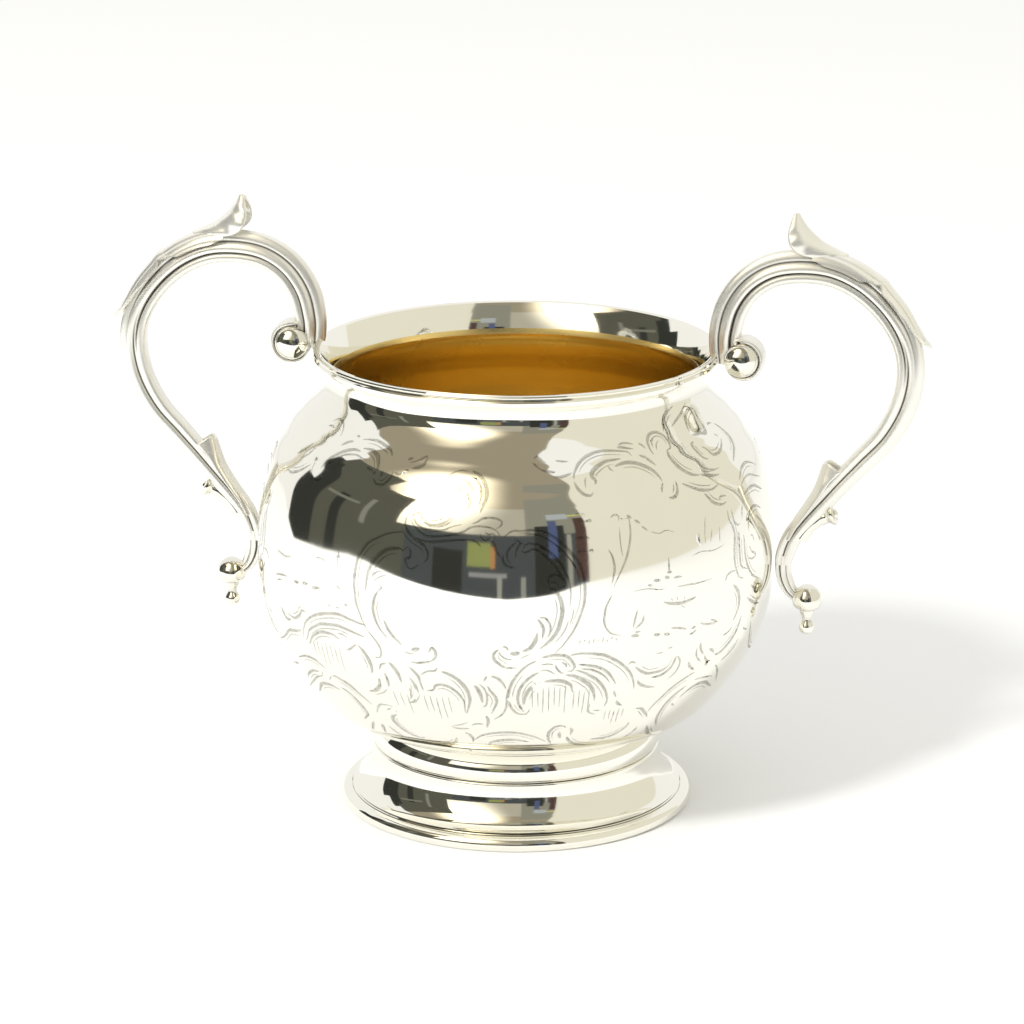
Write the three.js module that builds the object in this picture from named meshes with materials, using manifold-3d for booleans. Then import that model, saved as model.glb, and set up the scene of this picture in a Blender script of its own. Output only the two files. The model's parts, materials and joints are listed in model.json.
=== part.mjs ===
// Two-handled silver sugar bowl: a raised bowl on a spun foot, with two built-up scroll handles.
// Millimetres, +Z up. The origin is on the table, under the centre of the foot.
// The handles stand in the XZ plane, one on each side of the bowl.

import * as THREE from "three";
import { mergeVertices } from "three/addons/utils/BufferGeometryUtils.js";
import Module from "manifold-3d";

// Driving dimensions

const GAP = 0.3; // room between neighbouring pieces, where the solder would be
const WALL = 1.2; // sheet thickness of bowl and foot
const TURN_STEPS = 36; // facets round every turned piece

const FOOT_RADIUS = 40.5;
const FOOT_WIRE_HEIGHT = 3.3;
const FOOT_TOP = 13.5;
const COLLAR_TOP = 19.3;
const COLLAR_RADIUS = 33.2;
const RIM_HEIGHT = 106.6;
const RIM_RADIUS = 45.9;
const GILT_TOP = 100.2;
const GILT_THICKNESS = 0.4;

const BALL_RADIUS = 3.4; // ball of the tail finial
const BALL_AT = { out: 66.9, up: 50.3 };
const BUTTON_AT = { out: 51.3, up: 106.0 }; // centre of the volute under the loop
const BUTTON_RADIUS = 3.7;
const CURL_RADIUS = 4.75; // middle of the strip that curls round the button
const CURL_THICKNESS = 1.2;

// Outside of the bowl, from the middle of its bottom to under its lip: [radius, height]
const BOWL_OUTSIDE = [
  [0, 17.4], [20, 18.2], [32, 20.1], [45, 26.0], [56.4, 43],
  [59, 62], [56.4, 79.5], [47.4, 92.7], [41.6, 98.9], [44.2, 103.9],
];

// Spine of the main scroll, from the lip round the loop to the belly: [out from the axis, up]
const SCROLL_SPINE = [
  [47.3, 107.0], [47.3, 111.5], [48.8, 117.6], [52.4, 122.9], [57.8, 126.3], [64.5, 127.4],
  [71.5, 126.6], [78.3, 123.2], [84.2, 117.4], [87.9, 110.6], [88.9, 103.6], [87.5, 96.2],
  [83.8, 89.1], [78.6, 83.3], [74.3, 78.5], [70.3, 73.8], [66.1, 68.8], [63.0, 64.4], [61.5, 60.0],
];
const TAIL_SPINE = [[61.4, 59.2], [61.6, 57.0], [62.3, 54.4], [64.0, 51.9]];
const CALYX_SPINE = [[64.4, 70.4], [67.2, 74.4], [69.3, 78.2], [70.6, 82.0]];
const BUD_SPINE = [[66.6, 66.4], [68.8, 68.8], [71.2, 70.4], [73.4, 71.0]];

// Outline of the thumb leaf, seen from the side
const THUMB_LEAF = [
  [61.9, 130.9], [60.9, 132.6], [60.8, 134.8], [61.3, 137.2], [62.4, 139.2],
  [63.3, 137.2], [64.9, 134.8], [67.4, 132.7], [70.6, 131.4],
];
const THUMB_LEAF_FOOT = 129.0;
const THUMB_LEAF_TIP = 139.2;
const THUMB_LEAF_DEPTH = 7.4;
const THUMB_LEAF_LEAN = 1.6; // how far its sides lean back from the bowl at the foot

// Width in the handle's plane and depth across it, along the scroll: [share of its length, size]
const SCROLL_WIDTH = [
  [0, 5.4], [0.04, 6.4], [0.1, 6.8], [0.3, 6.6], [0.5, 5.7], [0.72, 5.0], [0.88, 3.8], [1, 3.9],
];
const SCROLL_DEPTH = [[0, 6.6], [0.1, 7.6], [0.3, 7.6], [0.55, 6.2], [0.8, 5.0], [1, 4.6]];
const GROOVE_DEPTH = 0.08; // share of the scroll's width
const SHEATH_LEAF_SPAN = [0.305, 0.545]; // shares of the scroll's length
const SHEATH_LEAF_FULLNESS = [[0.3, 0.97], [0.36, 1], [0.56, 1.02], [0.6, 0.9]];

// Drop under the tail's ball, upwards from its tip: [radius, height from the ball's centre]
const TAIL_DROP = [
  [0, -8.4], [0.9, -8.0], [1.7, -7.0], [1.5, -6.0], [1.0, -5.0], [1.3, -4.0], [1.6, -3.6],
];

// Section of the volute's strip, one unit thick and one unit deep
const CURL_SECTION = [
  [0.5, -0.36], [0.5, 0.36], [0.2, 0.5], [-0.2, 0.5],
  [-0.5, 0.36], [-0.5, -0.36], [-0.2, -0.5], [0.2, -0.5],
];
const CURL_DEPTH = 6.0;
const CURL_START = 104; // degrees from +X
const CURL_SWEEP = 252; // degrees, clockwise

const wasm = await Module();
wasm.setup();

// Finishes

const SILVER = { color: 0xdcdad2, roughness: 0.14, metalness: 1 };
const GILT = { color: 0xc08a3c, roughness: 0.22, metalness: 1 };

function piece(name, geometry, finish) {
  const mesh = new THREE.Mesh(geometry, new THREE.MeshStandardMaterial(finish));
  mesh.name = name;
  return mesh;
}

// Turned pieces

function smoothOutline(points, count) {
  const curve = new THREE.SplineCurve(points.map(([x, y]) => new THREE.Vector2(x, y)));
  return curve.getPoints(count).map((point) => new THREE.Vector2(Math.max(point.x, 0), point.y));
}

// Moves each point of an open outline sideways: inwards for a positive distance.
function offsetOutline(outline, distance) {
  return outline.map((point, index) => {
    const before = outline[Math.max(index - 1, 0)];
    const after = outline[Math.min(index + 1, outline.length - 1)];
    const along = after.clone().sub(before).normalize();
    const inwards = new THREE.Vector2(-along.y, along.x);
    const moved = point.clone().addScaledVector(inwards, distance);
    return new THREE.Vector2(point.x === 0 ? 0 : moved.x, moved.y);
  });
}

// Turns an outline about +Z. The outline runs up the outside of the piece and down its inside.
function turned(outline) {
  return new THREE.LatheGeometry(outline, TURN_STEPS).rotateX(Math.PI / 2);
}

// A ring whose section is a closed polygon, listed upwards on its outer side.
function turnedRing(section) {
  const outline = section.map(([radius, height]) => new THREE.Vector2(radius, height));
  return turned([...outline, outline[0].clone()]);
}

const bowlOutside = smoothOutline(BOWL_OUTSIDE, 18);

function bowlBody() {
  const inside = offsetOutline(bowlOutside, WALL).reverse();
  const lipEdge = [new THREE.Vector2(44.6, 104.5), new THREE.Vector2(44.7, 106.2)];
  const lipInside = [new THREE.Vector2(43.9, 106.4), new THREE.Vector2(43.5, 105.0)];
  return turned([...bowlOutside, ...lipEdge, ...lipInside, ...inside]);
}

function giltLining() {
  const wall = bowlOutside.filter((point) => point.y < GILT_TOP);
  const back = offsetOutline(wall, WALL + GAP);
  const front = offsetOutline(wall, WALL + GAP + GILT_THICKNESS).reverse();
  return turned([...back, ...front]);
}

function lipWire() {
  return turnedRing([
    [45.0, 104.2], [45.6, 104.3], [RIM_RADIUS - 0.1, 104.9], [45.45, 105.5],
    [RIM_RADIUS, 106.0], [45.6, RIM_HEIGHT], [45.1, 106.5],
  ]);
}

function footCollar() {
  return turnedRing([
    [29.4, FOOT_TOP + GAP], [32.6, FOOT_TOP + GAP], [COLLAR_RADIUS, 15.2], [COLLAR_RADIUS, 16.8],
    [32.6, 18.4], [31.4, COLLAR_TOP], [29.4, 19.0],
  ]);
}

function footRing() {
  const outside = [
    [37.8, 3.6], [36.7, 4.3], [35.0, 6.2], [33.7, 8.7], [33.1, 11.2], [32.7, FOOT_TOP],
  ];
  const inside = outside.map(([radius, height]) => [radius - WALL, height]).reverse();
  return turnedRing([...outside, ...inside]);
}

function footWire() {
  return turnedRing([
    [36.6, 0], [39.6, 0], [40.2, 0.4], [FOOT_RADIUS, 1.5], [40.2, 2.6],
    [39.3, FOOT_WIRE_HEIGHT - 0.1], [38.1, FOOT_WIRE_HEIGHT], [37.7, 3.2], [36.6, 2.6],
  ]);
}

// Handle pieces. All are drawn for a handle that points along +X.

// Section across a strand, one unit wide and deep: x is across in the handle's plane, y is its depth.
function roundSection(count) {
  const points = Array.from({ length: count }, (unused, index) => {
    const angle = (index / count) * 2 * Math.PI;
    return new THREE.Vector2(Math.cos(angle) / 2, Math.sin(angle) / 2);
  });
  return new THREE.Shape(points);
}

// The same, with two grooves down each side that part it into three flutes.
function flutedSection() {
  const count = 24;
  const grooves = [5, 7];
  const points = Array.from({ length: count }, (unused, index) => {
    const angle = (index / count) * 2 * Math.PI;
    const isGroove = grooves.includes(index % (count / 2));
    const radius = isGroove ? 0.5 - GROOVE_DEPTH : 0.5;
    return new THREE.Vector2(Math.cos(angle) * radius, Math.sin(angle) * radius);
  });
  return new THREE.Shape(points);
}

// A crescent that lies over the back of the fluted strand.
function crescentSection() {
  const halfAngle = 1.15;
  const outer = 0.64;
  const inner = 0.55;
  const steps = 6;
  const arc = (radius) => Array.from({ length: steps + 1 }, (unused, index) => {
    const angle = Math.PI - halfAngle + (index / steps) * 2 * halfAngle;
    return new THREE.Vector2(Math.cos(angle) * radius, Math.sin(angle) * radius);
  });
  return new THREE.Shape([...arc(outer), ...arc(inner).reverse()]);
}

function planeCurve(points) {
  return new THREE.CatmullRomCurve3(points.map(([out, up]) => new THREE.Vector3(out, 0, up)));
}

// Sweeps a section along a curve in the XZ plane. sizeAt(t) gives the section's width and depth in mm.
function sweep(section, curve, steps, sizeAt, from = 0, to = 1) {
  const geometry = new THREE.ExtrudeGeometry(section, { depth: 1, steps, bevelEnabled: false });
  const position = geometry.getAttribute("position");
  for (let index = 0; index < position.count; index += 1) {
    const t = from + (to - from) * position.getZ(index);
    const centre = curve.getPointAt(t);
    const along = curve.getTangentAt(t);
    const across = new THREE.Vector3(along.z, 0, -along.x);
    const [width, depth] = sizeAt(t);
    centre.addScaledVector(across, position.getX(index) * width);
    centre.y += position.getY(index) * depth;
    position.setXYZ(index, centre.x, centre.y, centre.z);
  }
  geometry.computeVertexNormals();
  return geometry;
}

// Reads a value that changes along a strand from a few [t, value] pairs.
function tapered(pairs) {
  return (t) => {
    const next = pairs.findIndex(([stop]) => stop >= t);
    if (next <= 0) {
      return pairs[next === 0 ? 0 : pairs.length - 1][1];
    }
    const [t0, value0] = pairs[next - 1];
    const [t1, value1] = pairs[next];
    return THREE.MathUtils.lerp(value0, value1, (t - t0) / (t1 - t0));
  };
}

const scrollCurve = planeCurve(SCROLL_SPINE);
const scrollWidth = tapered(SCROLL_WIDTH);
const scrollDepth = tapered(SCROLL_DEPTH);

function scroll(extra) {
  const sizeAt = (t) => [scrollWidth(t) + 2 * extra, scrollDepth(t) + 2 * extra];
  return sweep(flutedSection(), scrollCurve, 28, sizeAt);
}

function sheathLeaf(extra) {
  const fullness = tapered(SHEATH_LEAF_FULLNESS);
  const sizeAt = (t) => [scrollWidth, scrollDepth].map((size) => size(t) * fullness(t) + 2 * extra);
  return sweep(crescentSection(), scrollCurve, 9, sizeAt, ...SHEATH_LEAF_SPAN);
}

function tailScroll() {
  const width = tapered([[0, 3.9], [0.5, 3.6], [1, 2.6]]);
  return sweep(roundSection(12), planeCurve(TAIL_SPINE), 8, (t) => [width(t), width(t) + 0.6]);
}

function calyxLeaf() {
  const width = tapered([[0, 0.8], [0.5, 1.5], [0.85, 1.6], [1, 2.6]]);
  const depth = tapered([[0, 2.4], [0.5, 3.6], [1, 5.0]]);
  return sweep(roundSection(10), planeCurve(CALYX_SPINE), 8, (t) => [width(t), depth(t)]);
}

function bud() {
  const width = tapered([[0, 0.9], [0.5, 1.4], [0.8, 2.8], [0.93, 2.6], [1, 1.4]]);
  return sweep(roundSection(10), planeCurve(BUD_SPINE), 10, (t) => [width(t), width(t) * 1.15]);
}

function tailFinial(extra) {
  const ball = (angle) => [BALL_RADIUS * Math.cos(angle) + extra, BALL_RADIUS * Math.sin(angle)];
  const ballSide = [-65, -35, 0, 35, 65].map((degrees) => ball(THREE.MathUtils.degToRad(degrees)));
  const [tip, ...drop] = TAIL_DROP;
  const outline = [
    [0, tip[1] - extra],
    ...drop.map(([radius, height]) => [radius + extra, height]),
    ...ballSide,
    [0, BALL_RADIUS + extra],
  ];
  const points = outline.map(([radius, height]) => new THREE.Vector2(radius, height));
  const geometry = new THREE.LatheGeometry(points, 14).rotateX(Math.PI / 2);
  return geometry.translate(BALL_AT.out, 0, BALL_AT.up);
}

function curlCurve() {
  const steps = 12;
  const points = Array.from({ length: steps + 1 }, (unused, index) => {
    const angle = THREE.MathUtils.degToRad(CURL_START - (index / steps) * CURL_SWEEP);
    return [BUTTON_AT.out + CURL_RADIUS * Math.cos(angle), BUTTON_AT.up + CURL_RADIUS * Math.sin(angle)];
  });
  return planeCurve(points);
}

function volute(extra) {
  const sizeAt = () => [CURL_THICKNESS + 2 * extra, CURL_DEPTH + 2 * extra];
  const section = new THREE.Shape(CURL_SECTION.map(([x, y]) => new THREE.Vector2(x, y)));
  return sweep(section, curlCurve(), 16, sizeAt);
}

function voluteButton(extra) {
  const radius = BUTTON_RADIUS + extra;
  const halfDepth = 3.3 + extra;
  const outline = [-90, -60, -35, -12, 12, 35, 60, 90].map((degrees) => {
    const angle = THREE.MathUtils.degToRad(degrees);
    const isPole = Math.abs(degrees) === 90;
    return new THREE.Vector2(isPole ? 0 : radius * Math.cos(angle), halfDepth * Math.sin(angle));
  });
  return new THREE.LatheGeometry(outline, 18).translate(BUTTON_AT.out, 0, BUTTON_AT.up);
}

// The leaf is full and rounded at its foot, and narrows to its tip.
function thumbLeaf() {
  const outline = new THREE.Shape([
    ...THUMB_LEAF.map(([out, up]) => new THREE.Vector2(out, up)),
    new THREE.Vector2(68.5, THUMB_LEAF_FOOT),
    new THREE.Vector2(64.0, THUMB_LEAF_FOOT),
  ]);
  const layers = 6;
  const thinnest = 0.02;
  const geometry = new THREE.ExtrudeGeometry(outline, { depth: 1, steps: layers, bevelEnabled: false });
  const position = geometry.getAttribute("position");
  for (let index = 0; index < position.count; index += 1) {
    const out = position.getX(index);
    const up = position.getY(index);
    const side = position.getZ(index) * 2 - 1;
    const rise = (up - THUMB_LEAF_FOOT) / (THUMB_LEAF_TIP - THUMB_LEAF_FOOT);
    const halfDepth = (THUMB_LEAF_DEPTH / 2) * Math.sqrt(Math.max(1 - rise, thinnest));
    // The sides lean back, so the face towards the bowl is rounded like the back of a spoon
    const lean = THUMB_LEAF_LEAN * side * side * (1 - rise);
    position.setXYZ(index, out + lean, -side * halfDepth, up);
  }
  geometry.computeVertexNormals();
  return geometry;
}

// Cutting one piece back from its neighbours, each grown by the solder gap

function toSolid(geometry) {
  const bare = geometry.clone();
  bare.deleteAttribute("normal");
  bare.deleteAttribute("uv");
  const merged = mergeVertices(bare, 1e-4);
  const mesh = new wasm.Mesh({
    numProp: 3,
    vertProperties: merged.getAttribute("position").array,
    triVerts: new Uint32Array(merged.getIndex().array),
  });
  return new wasm.Manifold(mesh);
}

function toGeometry(solid) {
  const mesh = solid.getMesh();
  const geometry = new THREE.BufferGeometry();
  geometry.setAttribute("position", new THREE.BufferAttribute(mesh.vertProperties, 3));
  geometry.setIndex(new THREE.BufferAttribute(mesh.triVerts, 1));
  geometry.computeVertexNormals();
  return geometry;
}

function cutBack(geometry, grownNeighbours) {
  const whole = toSolid(geometry);
  const solid = grownNeighbours.reduce((left, tool) => left.subtract(toSolid(tool)), whole);
  return toGeometry(solid);
}

function handle(side) {
  const group = new THREE.Group();
  group.rotation.z = side === "left" ? Math.PI : 0;
  const grownScroll = scroll(GAP);
  const grownSheath = sheathLeaf(GAP);
  const grownButton = voluteButton(GAP);
  const parts = {
    scroll: cutBack(scroll(0), [volute(GAP), grownButton]),
    sheath_leaf: sheathLeaf(0),
    thumb_leaf: cutBack(thumbLeaf(), [grownScroll, grownSheath]),
    volute_curl: volute(0),
    volute_button: voluteButton(0),
    calyx_leaf: cutBack(calyxLeaf(), [grownScroll]),
    bud: cutBack(bud(), [grownScroll]),
    tail_scroll: cutBack(tailScroll(), [tailFinial(GAP), grownScroll]),
    tail_finial: tailFinial(0),
  };
  Object.entries(parts).forEach(([name, geometry]) => {
    group.add(piece(`${side}_${name}`, geometry, SILVER));
  });
  return group;
}

const sugarBowl = new THREE.Group();
sugarBowl.add(
  piece("bowl_body", bowlBody(), SILVER),
  piece("lip_wire", lipWire(), SILVER),
  piece("gilt_lining", giltLining(), GILT),
  piece("foot_collar", footCollar(), SILVER),
  piece("foot_ring", footRing(), SILVER),
  piece("foot_wire", footWire(), SILVER),
  handle("left"),
  handle("right"),
);

export default sugarBowl;
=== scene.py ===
# %% [markdown]
# # A silver sugar bowl with engraved sides and two scroll handles
#
# This is a lesson in cells. Each step first says what a piece or a finish is on the real
# object, how it could be made, and why one way was chosen. Lengths are in metres, but
# outlines are listed in millimetres, as on a silversmith's drawing, and multiplied by MM.
# +Z is up, the bowl stands at the origin, and its handles point along +X and -X.

import bisect
import json
import math

import bmesh
import bpy
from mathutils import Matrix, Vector

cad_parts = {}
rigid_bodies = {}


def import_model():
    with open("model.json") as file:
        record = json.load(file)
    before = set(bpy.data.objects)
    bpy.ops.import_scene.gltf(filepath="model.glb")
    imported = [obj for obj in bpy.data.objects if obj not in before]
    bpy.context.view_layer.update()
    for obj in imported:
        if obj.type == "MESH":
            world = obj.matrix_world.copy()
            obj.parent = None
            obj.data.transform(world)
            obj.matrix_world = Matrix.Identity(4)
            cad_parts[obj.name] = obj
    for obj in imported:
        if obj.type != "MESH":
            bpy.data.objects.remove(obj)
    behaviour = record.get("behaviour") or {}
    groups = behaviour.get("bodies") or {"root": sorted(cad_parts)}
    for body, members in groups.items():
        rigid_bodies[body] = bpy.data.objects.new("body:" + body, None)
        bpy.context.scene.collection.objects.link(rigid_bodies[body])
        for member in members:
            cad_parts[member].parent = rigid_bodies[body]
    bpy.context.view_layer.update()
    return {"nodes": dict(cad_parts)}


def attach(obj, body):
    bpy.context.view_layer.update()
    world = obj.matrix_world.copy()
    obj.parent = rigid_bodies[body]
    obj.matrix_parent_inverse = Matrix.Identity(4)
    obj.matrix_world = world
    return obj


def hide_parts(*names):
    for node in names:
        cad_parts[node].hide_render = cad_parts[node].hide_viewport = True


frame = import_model()
MM = 0.001
print("solid model:", len(frame["nodes"]), "pieces")

# %% [markdown]
# ## Looking at the bowl
#
# A long lens from about 94 cm away keeps the ellipses of lip and foot calm. The camera
# stands a little to the right of the front, so that the right handle swings towards us, and
# it looks down at 16 degrees, at a point just above the belly's widest line.

# %% Camera
VIEW_TURN = math.radians(9.39)
CAMERA_DISTANCE, CAMERA_HEIGHT = 0.900, 0.3265
LENS = 144.3
camera_data = bpy.data.cameras.new("camera")
camera_data.lens = LENS
camera_data.sensor_width = 36
camera = bpy.data.objects.new("camera", camera_data)
bpy.context.scene.collection.objects.link(camera)
camera.location = (
    CAMERA_DISTANCE * math.sin(VIEW_TURN), -CAMERA_DISTANCE * math.cos(VIEW_TURN), CAMERA_HEIGHT)
AIM = Vector((-0.001, 0, 0.0676))
camera.rotation_euler = (AIM - camera.location).to_track_quat("-Z", "Y").to_euler()
bpy.context.scene.camera = camera
bpy.context.scene.view_settings.view_transform = "Standard"
print("camera at", [round(value, 3) for value in camera.location])

# %% [markdown]
# ## The studio
#
# Polished silver has almost no colour of its own: it shows the room. The room here is a
# white table in white light, open towards a darker room on the camera's side. That opening
# draws the dark patch on the belly: its lower edge is the front of the table, its right edge
# is where the right wall begins, and the pale field above it is a lit screen with a lamp.
# The room could be built in full, but flat tones on a few upright cards are enough, because
# a round bowl squeezes them small. Only mirrors see the cards: the camera, the matt table
# and the shadows don't.

# %% Helpers for the studio
def deselect_all():
    for thing in bpy.context.view_layer.objects.selected[:]:
        thing.select_set(False)


def glow_material(name, color):
    """An even card that gives only its own light, so that mirrors see one clean tone."""
    material = bpy.data.materials.new(name)
    material.use_nodes = True
    shader = material.node_tree.nodes["Principled BSDF"]
    shader.inputs["Base Color"].default_value = (0, 0, 0, 1)
    shader.inputs["Specular IOR Level"].default_value = 0.0
    shader.inputs["Emission Color"].default_value = (*color, 1)
    shader.inputs["Emission Strength"].default_value = 1.0
    return material


def round_place(turn, height, radius):
    """A place in the room. Turn is degrees from the camera's side of the bowl, + to the right."""
    angle = math.radians(turn) + VIEW_TURN
    return Vector((radius * math.sin(angle), -radius * math.cos(angle), height))


CARD_STEPS = 24
FARTHEST_CARD = 1.6


def add_card(name, turns, heights, material, radius=FARTHEST_CARD):
    """An upright card, curved round the bowl, that only mirrors see."""
    corners, faces = [], []
    for step in range(CARD_STEPS + 1):
        turn = turns[0] + (turns[1] - turns[0]) * step / CARD_STEPS
        corners += [round_place(turn, height, radius) for height in heights]
    for step in range(CARD_STEPS):
        faces.append((2 * step, 2 * step + 2, 2 * step + 3, 2 * step + 1))
    mesh = bpy.data.meshes.new(name)
    mesh.from_pydata(corners, [], faces)
    mesh.materials.append(material)
    card = bpy.data.objects.new(name, mesh)
    bpy.context.scene.collection.objects.link(card)
    card.visible_camera = False
    card.visible_shadow = False
    card.visible_diffuse = False
    return card


# %% [markdown]
# ## Table
#
# A sheet of matt white paper. A plane would do for the floor, but the shape of its front
# edge shows in the belly, so the sheet is one flat face with the edge drawn point by point.

# %% Table
TABLE_EDGE = [
    (-3.5, 3.2), (-1.3, 0.7), (-0.58, 0.11), (-0.77, -0.01), (-0.98, -0.20), (-1.9, -0.96), (-0.42, -0.62),
    (-0.20, -0.54), (0.046, -0.43), (0.21, -0.49), (0.60, -0.78), (3.5, -1.0), (3.5, 4.5), (-3.5, 4.5),
]
table_mesh = bpy.data.meshes.new("table")
table_mesh.from_pydata([(x, y, 0) for x, y in TABLE_EDGE], [], [tuple(range(len(TABLE_EDGE)))])
table = bpy.data.objects.new("table", table_mesh)
bpy.context.scene.collection.objects.link(table)
white_paper = bpy.data.materials.new("white_paper")
white_paper.use_nodes = True
paper_shader = white_paper.node_tree.nodes["Principled BSDF"]
paper_shader.inputs["Base Color"].default_value = (0.9, 0.9, 0.893, 1)
paper_shader.inputs["Roughness"].default_value = 0.9
paper_shader.inputs["Specular IOR Level"].default_value = 0.0
table_mesh.materials.append(white_paper)
print("table front edge:", [point for point in TABLE_EDGE if point[1] < 0])

# %% [markdown]
# ## The room in the mirror
#
# Each card is given as (turns, heights): degrees to the left and right of the camera, then
# metres above the table. Nearer cards hide the ones behind them, so a door or a chair is a
# card a little closer to the bowl. Bright small things keep the dark part from looking empty.

# %% Dark room beyond the table
dark_grey = glow_material("dark_grey", (0.10, 0.10, 0.078))
near_black = glow_material("near_black", (0.036, 0.038, 0.033))
slate = glow_material("slate", (0.072, 0.080, 0.082))
grey_cloth = glow_material("grey_cloth", (0.27, 0.265, 0.215))
right_cloth = glow_material("right_cloth", (0.82, 0.79, 0.67))
ROOM_FOOT = -0.9
NEARER, NEARER_STILL, NEAREST_CARD = 1.58, 1.56, 1.54
FLAP_RADIUS = 1.57
add_card("room_end", (-107, 31), (ROOM_FOOT, 1.5), dark_grey)
add_card("room_left_low", (-120, -113), (ROOM_FOOT, 0.65), near_black)
add_card("room_left_high", (-113, -107), (ROOM_FOOT, 1.15), near_black)
add_card("room_left_edge", (-107, -102), (ROOM_FOOT, 1.0), near_black, NEARER)
add_card("room_left_gap", (-92, -86), (ROOM_FOOT, 0.8), near_black, NEARER)
add_card("room_middle", (-50, 31), (ROOM_FOOT, 0.42), slate, NEARER)
add_card("room_corner", (-36, -23), (-0.5, 0.25), near_black, NEARER_STILL)
add_card("room_door", (8, 21), (-0.25, 0.62), near_black, NEARER_STILL)
add_card("right_flap", (4, 31), (0.42, 2.1), grey_cloth, FLAP_RADIUS)
add_card("right_wall", (31, 128), (-0.12, 3.2), right_cloth)
THINGS_IN_ROOM = [
    ((-21, -11), (0.13, 0.33), (0.28, 0.31, 0.11)), ((-11, -9), (0.12, 0.30), (0.46, 0.24, 0.10)),
    ((14, 18), (0.20, 0.80), (0.09, 0.115, 0.22)), ((14, 24), (0.85, 1.10), (0.42, 0.45, 0.47)),
    ((24, 31), (0.95, 1.02), (0.55, 0.55, 0.20)), ((26, 31), (0.0, 0.85), (0.085, 0.05, 0.042)),
    ((-8, -6), (-0.25, 0.08), (0.33, 0.33, 0.29)), ((2, 4), (-0.28, 0.05), (0.30, 0.30, 0.27)),
    ((22, 24), (-0.15, 0.40), (0.36, 0.35, 0.30)), ((-20, -4), (0.04, 0.08), (0.30, 0.30, 0.30)),
    ((-74, -71), (0.25, 0.95), (0.24, 0.24, 0.20)), ((-100, -78), (0.62, 0.70), (0.20, 0.20, 0.16)),
]
for index, (turns, heights, color) in enumerate(THINGS_IN_ROOM):
    name = f"thing_{index}"
    add_card(name, turns, heights, glow_material(name, color), NEAREST_CARD)
print("things in the room:", len(THINGS_IN_ROOM))

# %% [markdown]
# ## Screen, lamp and daylight
#
# A lamp behind a cloth screen draws a soft bright spot that fades outwards. A light object
# would show as a hard disc in the silver, so the spot is painted: the strength of the glow
# falls with the distance from LAMP. The shadow comes from a real light nearby, which mirrors
# don't see, and the white world fills the rest.

# %% Screen
LAMP = round_place(-43, 1.95, 1.45)
LAMP_HEIGHT_SHARE = 0.45
FADE_START, FADE_END = 0.12, 1.15


def screen_material(name, cloth, lamp_strength):
    """Lit cloth, brightest at the lamp and fading away from it, most slowly upwards."""
    material = glow_material(name, cloth)
    tree = material.node_tree
    shader = tree.nodes["Principled BSDF"]
    place = tree.nodes.new("ShaderNodeTexCoord")
    away = tree.nodes.new("ShaderNodeVectorMath")
    away.operation = "SUBTRACT"
    away.inputs[1].default_value = LAMP
    squeeze = tree.nodes.new("ShaderNodeVectorMath")
    squeeze.operation = "MULTIPLY"
    squeeze.inputs[1].default_value = (1, 1, LAMP_HEIGHT_SHARE)
    length = tree.nodes.new("ShaderNodeVectorMath")
    length.operation = "LENGTH"
    fade = tree.nodes.new("ShaderNodeMapRange")
    fade.interpolation_type = "SMOOTHERSTEP"
    fade.inputs["From Min"].default_value = FADE_START
    fade.inputs["From Max"].default_value = FADE_END
    fade.inputs["To Min"].default_value = lamp_strength
    fade.inputs["To Max"].default_value = 1.0
    tree.links.new(place.outputs["Object"], away.inputs[0])
    tree.links.new(away.outputs["Vector"], squeeze.inputs[0])
    tree.links.new(squeeze.outputs["Vector"], length.inputs[0])
    tree.links.new(length.outputs["Value"], fade.inputs["Value"])
    tree.links.new(fade.outputs["Result"], shader.inputs["Emission Strength"])
    return material


upper_screen = screen_material("upper_screen", (0.34, 0.30, 0.22), 9.0)
lower_screen = screen_material("lower_screen", (0.46, 0.43, 0.35), 6.0)
add_card("screen_top", (-106, 33), (1.5, 18.0), upper_screen)
add_card("screen_front", (-55, 4), (0.42, 1.5), lower_screen, FLAP_RADIUS)
print("lamp at", [round(value, 2) for value in LAMP])

# %% Light
world = bpy.data.worlds.new("white_room")
bpy.context.scene.world = world
world.use_nodes = True
daylight = world.node_tree.nodes["Background"]
daylight.inputs["Color"].default_value = (1.0, 0.995, 0.965, 1)
daylight.inputs["Strength"].default_value = 0.95

key_data = bpy.data.lights.new("key_light", "AREA")
key_data.shape = "DISK"
key_data.size = 0.35
key_data.energy = 24
key_light = bpy.data.objects.new("key_light", key_data)
bpy.context.scene.collection.objects.link(key_light)
KEY_PLACE = round_place(-40, 1.26, 1.5)
KEY_AIM = Vector((0, 0, 0.06))
key_light.location = KEY_PLACE
key_light.rotation_euler = (KEY_AIM - KEY_PLACE).to_track_quat("-Z", "Y").to_euler()
key_light.visible_glossy = False
print("key light at", [round(value, 2) for value in KEY_PLACE])

# %% [markdown]
# ## Turned pieces
#
# Bowl, wires and foot are round about one axis, because they were spun and turned. Each is
# an outline on the +X side, spun round the Z axis with the Spin tool. An outline point is
# (radius, height) in millimetres.

# %% Smooth outlines and the spin
def smooth_line(points, per_span):
    """A Catmull-Rom line through the points, with per_span steps between two of them."""
    line = []
    for index in range(len(points) - 1):
        before = points[max(index - 1, 0)]
        start, end = points[index], points[index + 1]
        after = points[min(index + 2, len(points) - 1)]
        for step in range(per_span):
            t = step / per_span
            line.append(tuple(
                0.5 * (2 * b + (c - a) * t + (2 * a - 5 * b + 4 * c - d) * t ** 2
                       + (3 * b - a - 3 * c + d) * t ** 3)
                for a, b, c, d in zip(before, start, end, after)))
    line.append(tuple(points[-1]))
    return line


SPIN_STEPS = 256


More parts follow.
